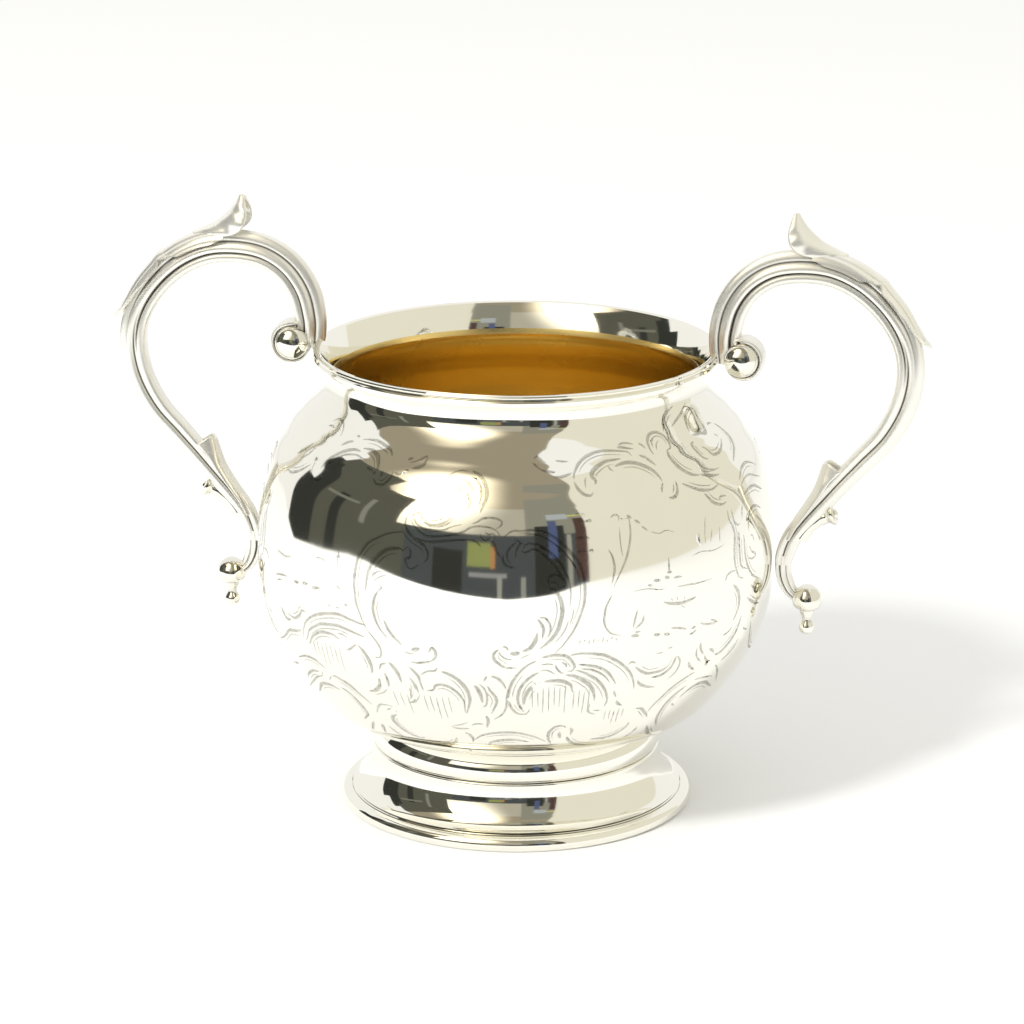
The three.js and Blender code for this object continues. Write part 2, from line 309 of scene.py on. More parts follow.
def spun(name, outline, closed=True):
    """Spins an outline round the Z axis into a closed piece with its faces out."""
    deselect_all()
    mesh = bpy.data.meshes.new(name)
    count = len(outline)
    edges = [(index, index + 1) for index in range(count - 1)]
    if closed:
        edges.append((count - 1, 0))
    mesh.from_pydata([(radius * MM, 0, height * MM) for radius, height in outline], edges, [])
    piece = bpy.data.objects.new(name, mesh)
    bpy.context.scene.collection.objects.link(piece)
    bpy.context.view_layer.objects.active = piece
    piece.select_set(True)
    bpy.ops.object.mode_set(mode="EDIT")
    bpy.ops.mesh.select_all(action="SELECT")
    bpy.ops.mesh.spin(steps=SPIN_STEPS, angle=2 * math.pi, center=(0, 0, 0), axis=(0, 0, 1))
    bpy.ops.mesh.select_all(action="SELECT")
    bpy.ops.mesh.remove_doubles(threshold=0.000001)
    bpy.ops.mesh.normals_make_consistent(inside=False)
    bpy.ops.object.mode_set(mode="OBJECT")
    bpy.ops.object.shade_smooth_by_angle(angle=math.radians(35))
    print(name, "has", len(piece.data.polygons), "faces")
    return piece


def dress(piece, material, slot, *stands_for):
    """Gives a finished piece its material and hooks it to the solid model."""
    piece.data.materials.clear()
    piece.data.materials.append(material)
    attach(piece, "root")
    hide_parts(*stands_for)


# %% [markdown]
# ## Silver and gilding
#
# Sterling silver is a pale, faintly warm metal. Polishing leaves hairline swirls and a soft
# bloom where fingers and cloths have been, and a grey oxide stays behind where the cloth
# can't reach. In furrows and creases the grey is pushed to near black, painted shade on top
# of the oxide. All of that lives in one node group, used by each metal with its own numbers.
# Sheet is polished to a clear mirror. Castings keep a slightly frosted skin, so part of the
# light that they send back is scattered: their shader isn't quite fully metallic.

# %% The polish group
def make_polish_group():
    group = bpy.data.node_groups.new("worn_polish_and_painted_shade", "ShaderNodeTree")
    sockets = group.interface
    color_in = sockets.new_socket("Metal", in_out="INPUT", socket_type="NodeSocketColor")
    color_in.default_value = (0.9, 0.88, 0.84, 1)
    tarnish_and_shade_in = sockets.new_socket("Tarnish_and_shade", in_out="INPUT", socket_type="NodeSocketColor")
    tarnish_and_shade_in.default_value = (0.5, 0.46, 0.38, 1)
    smooth_in = sockets.new_socket("Smoothest", in_out="INPUT", socket_type="NodeSocketFloat")
    smooth_in.default_value = 0.05
    rough_in = sockets.new_socket("Roughest", in_out="INPUT", socket_type="NodeSocketFloat")
    rough_in.default_value = 0.14
    hollow_in = sockets.new_socket("Hollow", in_out="INPUT", socket_type="NodeSocketFloat")
    hollow_in.default_value = 0.0
    sockets.new_socket("Color", in_out="OUTPUT", socket_type="NodeSocketColor")
    sockets.new_socket("Roughness", in_out="OUTPUT", socket_type="NodeSocketFloat")
    sockets.new_socket("Height", in_out="OUTPUT", socket_type="NodeSocketFloat")
    new, link = group.nodes.new, group.links.new
    entry, leave = new("NodeGroupInput"), new("NodeGroupOutput")
    place = new("ShaderNodeTexCoord")

    bloom = new("ShaderNodeTexNoise")
    bloom.inputs["Scale"].default_value = 38
    bloom.inputs["Detail"].default_value = 4
    link(place.outputs["Object"], bloom.inputs["Vector"])
    swirl = new("ShaderNodeTexNoise")
    swirl.inputs["Scale"].default_value = 420
    swirl.inputs["Detail"].default_value = 3
    swirl.inputs["Distortion"].default_value = 2.5
    link(place.outputs["Object"], swirl.inputs["Vector"])

    spread = new("ShaderNodeMapRange")
    spread.inputs["From Min"].default_value = 0.35
    spread.inputs["From Max"].default_value = 0.75
    link(bloom.outputs["Fac"], spread.inputs["Value"])
    link(entry.outputs["Smoothest"], spread.inputs["To Min"])
    link(entry.outputs["Roughest"], spread.inputs["To Max"])
    dull = new("ShaderNodeMath")
    dull.operation = "MULTIPLY_ADD"
    dull.inputs[1].default_value = 0.25
    link(entry.outputs["Hollow"], dull.inputs[0])
    link(spread.outputs["Result"], dull.inputs[2])
    link(dull.outputs["Value"], leave.inputs["Roughness"])

    # The bloom and the Hollow input mix the metal towards the darker colour: oxide, and where Hollow is high,
    # painted shade on top of it.
    stain_and_shade = new("ShaderNodeMath")
    stain_and_shade.operation = "MULTIPLY_ADD"
    stain_and_shade.use_clamp = True
    stain_and_shade.inputs[1].default_value = 0.18
    link(bloom.outputs["Fac"], stain_and_shade.inputs[0])
    link(entry.outputs["Hollow"], stain_and_shade.inputs[2])
    tint = new("ShaderNodeMix")
    tint.data_type = "RGBA"
    link(stain_and_shade.outputs["Value"], tint.inputs["Factor"])
    link(entry.outputs["Metal"], tint.inputs["A"])
    link(entry.outputs["Tarnish_and_shade"], tint.inputs["B"])
    link(tint.outputs["Result"], leave.inputs["Color"])
    link(swirl.outputs["Fac"], leave.inputs["Height"])
    return group


polish_group = make_polish_group()


# %% The metals
def make_metal(name, metal, tarnish_and_shade, smoothest, roughest, swirl_depth, hollow=None, mirror_share=1.0):
    """A metal with its polish: smoothest and roughest are roughnesses, swirl_depth is metres."""
    material = bpy.data.materials.new(name)
    material.use_nodes = True
    tree = material.node_tree
    shader = tree.nodes["Principled BSDF"]
    shader.inputs["Metallic"].default_value = mirror_share
    polish = tree.nodes.new("ShaderNodeGroup")
    polish.node_tree = polish_group
    polish.inputs["Metal"].default_value = (*metal, 1)
    polish.inputs["Tarnish_and_shade"].default_value = (*tarnish_and_shade, 1)
    polish.inputs["Smoothest"].default_value = smoothest
    polish.inputs["Roughest"].default_value = roughest
    if hollow:
        dark_place = tree.nodes.new("ShaderNodeAttribute")
        dark_place.attribute_name = hollow
        tree.links.new(dark_place.outputs["Fac"], polish.inputs["Hollow"])
    bump = tree.nodes.new("ShaderNodeBump")
    bump.inputs["Strength"].default_value = 1.0
    bump.inputs["Distance"].default_value = swirl_depth
    tree.links.new(polish.outputs["Height"], bump.inputs["Height"])
    tree.links.new(bump.outputs["Normal"], shader.inputs["Normal"])
    tree.links.new(polish.outputs["Color"], shader.inputs["Base Color"])
    tree.links.new(polish.outputs["Roughness"], shader.inputs["Roughness"])
    return material


FROSTED_MIRROR_SHARE = 0.76
sheet_silver = make_metal(
    "sheet_silver", (0.955, 0.94, 0.87), (0.72, 0.68, 0.58), 0.045, 0.085, 0.0000012)
# Cast, ball and engraved silver have a near-black second colour: in their creases, sockets and furrows it is
# painted shade on top of grey oxide. The engraved silver's first colour is a little darker than the sheet's,
# which is also painted shade.
cast_silver = make_metal(
    "cast_silver", (0.95, 0.935, 0.87), (0.06, 0.055, 0.04), 0.26, 0.36, 0.000002,
    "hollow", FROSTED_MIRROR_SHARE)
ball_silver = make_metal(
    "ball_silver", (0.95, 0.935, 0.86), (0.10, 0.09, 0.065), 0.07, 0.13, 0.000002, "hollow")
engraved_silver = make_metal(
    "engraved_silver", (0.88, 0.87, 0.82), (0.05, 0.047, 0.035), 0.16, 0.28, 0.000004, "hollow")
gold_wash = make_metal("gold_wash", (0.96, 0.76, 0.33), (0.80, 0.56, 0.20), 0.22, 0.34, 0.000003)
METALS = (sheet_silver, cast_silver, ball_silver, engraved_silver, gold_wash)
print("metals:", [metal.name for metal in METALS])

# %% [markdown]
# ## The bowl
#
# A silversmith raises the bowl from one disc of sheet, draws the neck in and turns the lip
# out. Its outside is one smooth line. The inside runs a sheet's thickness behind it, up to
# the neck, and from there its radius is a simple curve of the height, which keeps the
# reflections inside the lip calm.

# %% Bowl
BOWL_OUTSIDE = [
    (0, 17.4), (20, 18.2), (32, 20.1), (45, 26.0), (56.4, 43),
    (59, 62), (56.4, 79.5), (52.0, 87.8), (48.7, 91.7), (45.5, 94.8), (43.0, 97.7), (42.25, 99.8),
    (42.35, 101.6), (43.1, 103.1), (44.4, 103.95),
]
WALL = 0.9
bowl_outside = smooth_line(BOWL_OUTSIDE, 10)


def along_line(line, index):
    """The direction of a line at one of its points."""
    before, after = line[max(index - 1, 0)], line[min(index + 1, len(line) - 1)]
    return Vector((after[0] - before[0], after[1] - before[1])).normalized()


def offset_line(line, distance):
    """Moves an outline sideways, towards the inside of the bowl."""
    moved = []
    for index, (radius, height) in enumerate(line):
        along = along_line(line, index)
        moved.append((max(radius - along.y * distance, 0) if radius else 0, height + along.x * distance))
    return moved


LIP_EDGE = [(44.75, 104.4), (45.0, 105.3), (45.0, 106.2), (44.75, 106.55)]
NECK_ROOT, NECK_START, NECK_RISE = 41.4, 99.3, 7.1
NECK_OPENING, NECK_FLARE = 1.065, 1.835
NECK_RINGS = 24
BELLY_TOP = 98.4
belly_inside = [point for point in offset_line(smooth_line(BOWL_OUTSIDE, 5), WALL) if point[1] < BELLY_TOP]
neck_inside = []
for ring in range(NECK_RINGS + 1):
    t = ring / NECK_RINGS
    neck_inside.append((NECK_ROOT + NECK_OPENING * t + NECK_FLARE * t ** 2, NECK_START + NECK_RISE * t))
bowl_inside = belly_inside + neck_inside
bowl = spun("bowl", bowl_outside + LIP_EDGE + bowl_inside[::-1], closed=False)
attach(bowl, "root")
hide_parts("bowl_body")

# %% [markdown]
# ## The engraver's drawing
#
# The pattern is drawn on an unrolled sheet, in millimetres. The first number runs round the
# belly, 0 at the front and growing to the right; the second runs up the wall from the
# belly's widest line. Each cut is a width and a few points that the graver passes through.
# HAIR, FINE, LINE, BOLD and SWELL are the widths of the cuts.

# %% Empty shield in the middle, between two leafy C scrolls
HAIR, FINE, LINE, BOLD, SWELL = 0.3, 0.42, 0.58, 0.8, 1.05
SHIELD = [
    (BOLD, [(-16.2, 16.2), (-20, 15.4), (-22.4, 14.2), (-24.8, 12.8), (-26.2, 11.2), (-27.4, 9.2),
            (-27.9, 7.2),
            (-28.2, 4.4), (-28.1, 2), (-27.7, -0.8), (-26.9, -3), (-25.9, -5.1), (-24.9, -7)]),
    (LINE, [(-24.9, -7), (-23.2, -8.6), (-22, -10), (-21.5, -11.4), (-21.9, -12.9), (-23.4, -13.3)]),
    (SWELL, [(-16, 12), (-17.2, 12.4), (-19, 12.2), (-20.8, 11.4), (-22.4, 10), (-23.8, 8), (-24.6, 6),
             (-24.9, 4),
             (-25, 1.8)]),
    (LINE, [(-21.4, 3.9), (-20.9, 3.3), (-21.8, 2.4)]),
    (BOLD, [(-21.8, 2.4), (-22.4, 1.4), (-22.9, 0), (-23.1, -1.9), (-22.5, -4.2), (-21.4, -6.2),
            (-19.7, -7.9)]),
    (LINE, [(-23.6, 5.2), (-22.4, 6.6), (-20.8, 6.9)]),
    (FINE, [(-23.4, 4.2), (-21.2, 5.8), (-19.6, 6.1)]),
    (BOLD, [(-20.4, -3.8), (-19.3, -6), (-18, -7.5), (-16.1, -9.1)]),
    (SWELL, [(-13.9, -9.85), (-13, -9.75), (-11.85, -9.3)]),
    (HAIR, [(-15.8, -10.5), (-14.3, -10.9), (-12.8, -10.8)]),
    (BOLD, [(-9.8, -10.1), (-9.2, -9), (-8.5, -9.2), (-8.1, -10.3), (-8.5, -11.4), (-9.4, -12.1)]),
    (LINE, [(-9.4, -12.1), (-10.7, -12.55), (-12.6, -12.9), (-14.5, -12.9)]),
    (LINE, [(-8, -13.5), (-8.7, -14.5), (-10.4, -14.7), (-12.2, -15.9)]),
    (BOLD, [(-15.9, 19.8), (-16.2, 18), (-15.6, 16.6), (-14, 15.2), (-12.4, 14.4), (-11, 13.6), (-10.2, 12.2),
            (-10.2, 11), (-11, 10)]),
    (LINE, [(-16, 12), (-15.4, 12.8), (-14.6, 12.6), (-14.2, 11.6), (-14.6, 10.6), (-15.4, 10.6), (-15, 9),
            (-14.2, 8.3), (-13, 8.8), (-12, 9.6)]),
    (BOLD, [(6.6, 16.2), (8, 17.4), (9.2, 17.9), (11, 17.8), (13.2, 18), (15.6, 17.6), (18, 16.4), (20, 14.8),
            (22, 12.6), (23.4, 10.6), (24.2, 8.6), (24.6, 6.4), (24.7, 4.4), (24.5, 2), (23.9, -0.2),
            (22.8, -3),
            (21.9, -4.7), (20.6, -6.6), (19.6, -7.9), (18, -9.4)]),
    (FINE, [(10, 17.3), (13.2, 17.2), (16, 16.3), (19, 14.2), (21.2, 11.8), (22.6, 9.4), (22.9, 8)]),
    (BOLD, [(11.2, 14), (11.8, 14.8), (12.8, 15.1), (14.6, 14.7), (16.4, 13.6), (18, 12.2), (19.4, 10.4),
            (20.4, 8.6), (21.2, 6.6), (21.5, 4), (21.3, 1.2)]),
    (LINE, [(10.8, 13.8), (11.6, 13.2), (13.6, 13.9), (15, 13.1), (16.8, 11.4), (18.3, 9.6), (19.6, 7.6),
            (20.1, 6.6)]),
    (BOLD, [(6.8, 12.8), (6.8, 11.2), (7.8, 10.2), (9.4, 10)]),
    (LINE, [(10, 15.6), (8.4, 14.4), (7.6, 13), (7.8, 11.6), (8.6, 10.6)]),
    (LINE, [(9.4, 16), (10.6, 15.3), (9.8, 14), (9.4, 12)]),
    (LINE, [(16.8, 5.8), (16.6, 6.8), (16.8, 7.8), (17.8, 8.2), (19, 8), (20, 7), (20.2, 6), (19.6, 5.4),
            (18, 5.2)]),
    (FINE, [(17, 6), (17.6, 6.6), (18.4, 6.3), (19.2, 5.8)]),
    (SWELL, [(16.8, 5.4), (18, 4.8), (19, 3.4), (19.5, 1.8), (19.6, -0.2), (19.1, -2.7), (18.3, -4.7),
             (17, -6.4),
             (15.7, -7.5), (14.7, -8.3)]),
    (FINE, [(21, -2), (20.4, -3.8), (19.4, -5.4), (18, -7)]),
    (HAIR, [(22.2, 1), (21.9, -1), (21.2, -3.2)]),
    (BOLD, [(14.2, -1.4), (15.2, -2.7), (15.6, -4.25), (15.2, -6)]),
    (LINE, [(14.4, -1.2), (15.7, -1.1), (16.75, -2.3), (17.1, -3.8), (16.6, -5.8)]),
    (SWELL, [(14.2, -4.5), (13.9, -6), (13.3, -7.3), (12.2, -8.3), (10.9, -8.8)]),
    (SWELL, [(10.5, -9.1), (9.4, -9.3), (8.2, -9.3)]),
    (LINE, [(7.9, -8.6), (7.5, -7.8), (6.6, -7.7)]),
    (BOLD, [(6, -8.4), (5, -9), (4.7, -10.1), (5.1, -11.1), (6.2, -12), (7.5, -12.7), (9.9, -12.7)]),
    (FINE, [(5.9, -8.8), (6.2, -9.6), (7.3, -10.5), (8.8, -10.7)]),
    (HAIR, [(10.3, -10.5), (12.7, -9.4)]),
]

# %% Crest above the shield
CREST = [
    (LINE, [(-15, 19.6), (-13.8, 20.6), (-12.8, 20.5), (-12.2, 19.6), (-12.3, 19)]),
    (BOLD, [(-13.6, 15.2), (-12, 14.8), (-10, 14.6), (-7, 15), (-4, 15.4), (-2, 15.6), (-0.6, 15.7)]),
    (LINE, [(-15, 19.4), (-14.4, 18.2), (-13, 16.9), (-11, 16), (-9, 15.9), (-6.4, 16.2), (-4, 16.8),
            (-2, 17.5),
            (-0.8, 18.3), (1, 18.7), (3, 18.6), (4.6, 18.2), (5.6, 17.4), (6.4, 16.2)]),
    (LINE, [(-14.2, 19.6), (-13.6, 18.4), (-12, 17.5), (-10, 17.1), (-7, 17.4), (-5.2, 18.2), (-2.8, 18.9)]),
    (BOLD, [(-12, 18.9), (-10, 18.2), (-8, 18.5), (-6.2, 19.4), (-5.2, 20.3)]),
    (FINE, [(-8.6, 17.8), (-6.6, 18.5), (-5.4, 19.3), (-4.4, 20.4)]),
    (LINE, [(-0.6, 15.8), (1, 15.2), (1.8, 14.2)]),
    (LINE, [(-0.4, 19.2), (1, 19.7), (2, 20.4), (4.6, 20.6), (6.4, 19.8), (6, 18.8), (5, 18.3)]),
    (FINE, [(1.6, 17.2), (1.8, 16.4), (2.8, 15.6), (4, 16.2), (4.8, 14.8)]),
    (BOLD, [(3.9, 16.4), (4.8, 14.8), (5, 13.8), (6.4, 12)]),
    (FINE, [(2.6, 17.6), (3.4, 17), (4.6, 17.2), (5.2, 16.2)]),
    (SWELL, [(-1.6, 31.1), (0, 30.4), (1.2, 29.2), (2, 28), (2.6, 26), (2.3, 24.4), (1.8, 23), (1.3, 21.6)]),
    (LINE, [(-1.8, 29.8), (-0.4, 29.2), (0.6, 28), (1.1, 26.6), (1.2, 24.6), (0.9, 23.2)]),
    (BOLD, [(-3.8, 28.9), (-2.4, 28.3), (-1.4, 27.4), (-0.7, 26.2)]),
    (BOLD, [(-4.3, 27.7), (-4, 26.8), (-3.4, 26.1)]),
    (BOLD, [(-3, 26.1), (-2, 25.6), (-1.4, 24.4), (-1.3, 23.4), (-1.6, 22.2)]),
    (LINE, [(-6, 30.6), (-6.9, 30), (-7.2, 29.3), (-6, 29.2)]),
    (FINE, [(-6, 30.6), (-4.4, 31.1), (-2.6, 30.9)]),
]

# %% Garlands of scrolls on both shoulders
GARLANDS = [
    (BOLD, [(-25, 32.5), (-26, 33.7), (-27.7, 34.5), (-29.2, 34.9), (-32, 35.5), (-34.9, 35.4), (-37.5, 35)]),
    (LINE, [(-39.1, 35.4), (-40.6, 35.5)]),
    (BOLD, [(-40.1, 33.9), (-41.7, 33.5), (-43, 32.7), (-43.8, 32.1)]),
    (SWELL, [(-27.5, 28.6), (-27.9, 29.9), (-29.1, 31.6), (-30.7, 32.6), (-32.8, 33.1), (-35.4, 32.9)]),
    (SWELL, [(-35.7, 32.1), (-38, 32.1), (-40.1, 31.5), (-42.2, 30.4), (-43.8, 29.2), (-45, 28.2),
             (-45.8, 26.9),
             (-46.3, 25.7)]),
    (LINE, [(-32, 30.7), (-33.8, 30.5), (-35.9, 31), (-38, 30.8), (-40.1, 30.3), (-41.7, 29.5), (-43.2, 28.4),
            (-44.2, 27.1), (-44.4, 25.7)]),
    (LINE, [(-44.3, 24.3), (-44.5, 23.3), (-45.9, 22.8), (-47.7, 22.8), (-48.9, 23.8), (-49.6, 25.2),
            (-49.6, 27)]),
    (BOLD, [(-60, 22), (-57.9, 21.9), (-56.1, 22.4), (-54.2, 23.2), (-52.4, 24.4), (-50.8, 25.7)]),
    (BOLD, [(-60, 26.2), (-58.4, 27.2), (-56.9, 28.3), (-55.3, 30.1)]),
    (LINE, [(-56.6, 25.9), (-54.8, 27), (-53.7, 28.3), (-52.7, 29.5)]),
    (LINE, [(-55, 36.4), (-53.5, 37.5), (-51.4, 37.6), (-49, 36.9), (-47.4, 35.6), (-46.6, 34)]),
    (LINE, [(-55.2, 35.2), (-53.5, 35.5), (-51.7, 35.2)]),
    (BOLD, [(-52.3, 33.8), (-51.4, 32.6), (-51.5, 31.2)]),
    (LINE, [(-31.1, 28.8), (-29.9, 28.5), (-28.6, 28.1)]),
    (SWELL, [(-28.4, 28.1), (-27.8, 27.7)]),
    (BOLD, [(-25.9, 28.6), (-25.9, 27.3)]),
    (BOLD, [(-27.9, 26.7), (-26.7, 25.7), (-25, 25.5), (-23.7, 26.4), (-22.9, 27.7), (-22.9, 29.1)]),
    (LINE, [(-22.4, 28.9), (-21.1, 28.5), (-20.1, 28.9)]),
    (SWELL, [(-20.2, 29), (-18.6, 29.9)]),
    (SWELL, [(-17.9, 30.4), (-16.2, 30.8), (-15.1, 31.6), (-14.6, 32.9)]),
    (LINE, [(-14.7, 32.6), (-14.9, 33.8), (-16.2, 32.9), (-17.7, 32.2), (-19.2, 31.7)]),
    (BOLD, [(-20, 32.4), (-18.6, 32.9)]),
    (LINE, [(14, 33.4), (15, 32.4), (16.3, 31.4)]),
    (BOLD, [(16, 31.5), (18.1, 31), (19.7, 30.9)]),
    (BOLD, [(19.2, 29.7), (20.8, 29.6), (22.6, 30), (24, 30.5)]),
    (LINE, [(20, 33.7), (21.8, 33.4), (23.6, 33.3)]),
    (LINE, [(14.4, 34.2), (15.2, 35), (16.4, 33.9), (17.6, 33.2)]),
    (BOLD, [(24.1, 28.9), (24.4, 30.1), (25.2, 31.4), (26.3, 32.7), (28.1, 33.9), (30.2, 34.7), (32, 35.1),
            (34.1, 35.2), (36.7, 35), (39.1, 34.6), (41.2, 34.1), (41.8, 33)]),
    (BOLD, [(24.1, 28.4), (24.6, 27), (25.5, 25.8), (26.5, 25.1), (27.8, 25), (28.5, 25.7)]),
    (FINE, [(27.3, 29.2), (26.9, 28.3), (26.8, 26.7)]),
    (SWELL, [(29.3, 27.4), (29.7, 28.2), (28.9, 29.2), (29.4, 30.4), (30.7, 31.3), (32.3, 32.1), (34.1, 32.6),
             (36.5, 32.7), (38.3, 32.7)]),
    (FINE, [(34.1, 31.7), (34.2, 30.6), (35.2, 29.9)]),
    (SWELL, [(35.9, 31), (37.3, 31.4), (39.3, 31.6), (41.4, 31.3), (43.3, 30.6), (44.8, 29.7), (46.2, 28.6),
             (47.2, 27.2), (47.7, 25.9)]),
    (LINE, [(47.7, 25.6), (46.9, 24.5), (46.4, 23.3)]),
    (BOLD, [(44.1, 32.9), (45.4, 32.2), (46.7, 30.9), (47.7, 29.7)]),
    (BOLD, [(38.6, 35.5), (39.9, 35.5), (41.4, 35.1), (43.3, 34.6)]),
    (LINE, [(39.1, 36), (40.7, 36.5), (42.5, 36.2), (44.1, 35.7)]),
    (LINE, [(45.6, 35.9), (46.6, 35.1), (47.2, 34.2)]),
    (BOLD, [(48.7, 32.4), (48.4, 33.9), (49, 35.8), (50.5, 37.2), (52.7, 37.6), (54.2, 37.3), (55.6, 36.1),
            (55.8, 34.2), (55.2, 33), (53.8, 32.7)]),
    (HAIR, [(49.6, 34), (50.4, 35.6), (52, 36.5)]),
    (HAIR, [(50.4, 33.2), (51.2, 34.6), (53, 35.6)]),
    (SWELL, [(53.8, 32.7), (53.3, 31.5), (53.6, 29.6), (54.8, 27.8), (56.4, 26.5), (58.2, 25.6),
             (60.1, 25.2)]),
    (BOLD, [(53.3, 24.4), (55.2, 23.3), (57.6, 22.2), (59.8, 21.6), (62.2, 21.3), (65, 21.8)]),
    (BOLD, [(47.8, 22.1), (49, 21.8), (50.5, 22.4), (51.3, 23.8), (51.6, 25.3)]),
    (HAIR, [(49.4, 22.8), (50.2, 23.8), (50.6, 25)]),
    (BOLD, [(56.7, 37.3), (58.2, 39.2), (60.1, 40.5), (62.2, 41.3), (65.6, 42.1)]),
    (LINE, [(60.7, 37.8), (63.5, 38.7), (66.5, 39.5), (69.6, 40.4), (73.3, 41.8)]),
    (SWELL, [(66.2, 34.4), (67.8, 34.1), (69.9, 34.1), (71.5, 33.6), (73, 33.9), (73.9, 35.2), (74.4, 36.7),
             (75.2, 38.3), (76.1, 39.5)]),
    (BOLD, [(75.8, 39.7), (73.9, 40.1), (71.5, 39.8), (68.7, 38.5), (66.9, 36.7), (66.1, 35.2)]),
    (BOLD, [(64.9, 32.8), (63.6, 32.4), (63.2, 31.5), (63.8, 29.6), (64.7, 28.4), (66.2, 27.8)]),
    (LINE, [(61.6, 29.2), (61.5, 27.8), (62.5, 26.6), (64.7, 25.6), (66.5, 25.2), (68.4, 25.2)]),
    (BOLD, [(60.4, 25.4), (62.2, 24.6), (64.7, 24.1), (67.2, 23.8)]),
    (BOLD, [(66.5, 31), (67.9, 29.9), (68.7, 28.5), (71.2, 28.2), (73.6, 28.7), (75.5, 29.6), (77.3, 30.8)]),
    (LINE, [(75.8, 32.4), (77, 31.5)]),
    (LINE, [(76.1, 34.8), (77.6, 35.2), (79.2, 34.8)]),
    (SWELL, [(80.1, 34.5), (81.6, 32.7), (82.4, 30.5), (81.9, 28.7), (80.4, 27.3), (78.2, 26.1), (76.1, 25)]),
    (BOLD, [(59, 21), (59.8, 20.1), (61, 18.7), (62.5, 17.9), (64.4, 17.4), (66.2, 17.6)]),
    (LINE, [(63.6, 18.8), (65, 19.2), (66.6, 18.8)]),
]

# %% Curved frames between the views
SIDE_FRAME = [
    (BOLD, [(74.5, 20.7), (76.4, 21.9), (78.5, 22.8), (81.3, 23.2), (84.1, 22.7), (88, 21)]),
    (LINE, [(74.5, 19.5), (77, 20.4), (79.5, 20.6), (81.9, 20.2), (84.7, 19.2), (88, 18.2)]),
    (BOLD, [(74.5, 17.2), (76.4, 17.7), (79.2, 17.9), (81.9, 17.6), (84.7, 16.4), (86.8, 15.5)]),
    (BOLD, [(73.8, 9.3), (74.5, 11.8), (76.1, 13.2), (78.2, 13.7), (80.4, 13.3), (82.8, 12.1)]),
    (LINE, [(78.5, 11.8), (81.3, 9.6), (84.4, 6.8)]),
    (BOLD, [(65.9, 15.8), (65.9, 13.6), (66.8, 12.1), (67.3, 10.2), (66.8, 8), (66.4, 6), (66.3, 3.8),
            (66.9, 1.8),
            (68, 0.1), (70, -0.7)]),
    (LINE, [(67.5, 15.5), (67.8, 13), (69, 11.7), (70.2, 11.8)]),
    (LINE, [(72.7, 15.5), (71.9, 13.8), (71.5, 12.4)]),
    (BOLD, [(69.2, 10.4), (68.8, 7.9), (68.5, 5.2), (69, 2.3), (71.7, 1.1)]),
    (BOLD, [(71.2, 9), (71, 6.9), (71, 4.2), (72, 1.5), (73.7, -0.6), (75.8, -1.9), (78.1, -2.8)]),
    (LINE, [(73.2, 5.9), (74.4, 4.3), (76.1, 3.5), (75.9, 2.8), (73.7, 2.8), (72.2, 3.7)]),
    (FINE, [(74.2, 8.1), (75.6, 7.6), (75.9, 5.9)]),
    (BOLD, [(73.7, -3.3), (75.8, -4.5), (78.1, -5.3), (80.8, -5.5)]),
    (BOLD, [(72, -5.8), (74.4, -7.2), (76.8, -8.4), (79.5, -9.1)]),
    (LINE, [(62.5, 0.4), (62.9, 1.5), (64.6, 2.1), (66.4, 1.9)]),
    (SWELL, [(65.4, -1.1), (66.9, -2.3), (68, -4), (68.3, -6), (67.6, -8), (66.3, -9.7)]),
    (SWELL, [(70, -9.4), (69, -11.8), (67.3, -14.1), (64.9, -15.8), (62.9, -16.7), (61.2, -16.7)]),
    (LINE, [(62.9, -12.3), (64.6, -12.1), (66.4, -11)]),
    (BOLD, [(58.5, -14.5), (59.8, -15.2), (60.5, -16)]),
    (BOLD, [(55.1, -12.1), (55.4, -13.8), (56.8, -15.5)]),
    (LINE, [(54.1, -13.1), (54.2, -14.8), (55.2, -16.3), (56.4, -17.2)]),
    (LINE, [(57.3, -15.8), (58.1, -17.2), (60.2, -18)]),
    (BOLD, [(52, -16.2), (53, -17.8), (55, -19.1)]),
    (BOLD, [(55.5, -19.8), (53.2, -20.6), (50.9, -21.7), (48.8, -23.2), (47.1, -25.2), (45.6, -27.2),
            (44.6, -29.4)]),
    (SWELL, [(54.4, -23.5), (52.6, -24.6), (50.9, -26), (49.7, -28.4), (49.3, -31), (49.7, -33.1),
             (50.6, -34.8),
             (51.5, -36)]),
    (SWELL, [(47.6, -35.1), (48.8, -36.9), (50.3, -38.6), (52, -40.1), (54.4, -41.2)]),
    (SWELL, [(53.9, -27), (55.8, -25.3), (58.1, -24.3), (60.5, -24.3), (62.5, -24.8), (64.6, -26.1),
             (66.9, -27.4)]),
    (LINE, [(52, -28.4), (53.5, -29.5)]),
    (LINE, [(56.4, -22.3), (60.2, -22.6), (64.2, -23.4)]),
    (LINE, [(62.9, -19.9), (64.6, -21.3), (66.6, -24.3), (67.8, -26)]),
    (BOLD, [(70.4, -15), (69.2, -17), (67, -18.4), (64.6, -19.4)]),
    (BOLD, [(75.8, -12.4), (77.5, -16.5), (79.8, -19.6), (83.2, -21.3), (85.9, -22.3)]),
    (LINE, [(71.7, -12.8), (73, -13.6), (74.4, -14)]),
]

# %% Shell waves and fountains below the shield
def fountain(first, last, count, top, bottom):
    """Fine upright cuts, side by side, like falling water."""
    cuts = []
    for index in range(count):
        share = index / (count - 1)
        x = first + (last - first) * share
        sway = 0.5 * math.sin(2.4 * index)
        drop = bottom + 1.4 * math.sin(1.7 * index + 0.6)
        middle = (x + 0.12, 0.5 * (top + drop))
        cuts.append((HAIR, [(x, top + 0.5 * sway), middle, (x + 0.3 + 0.2 * sway, drop)]))
    return cuts


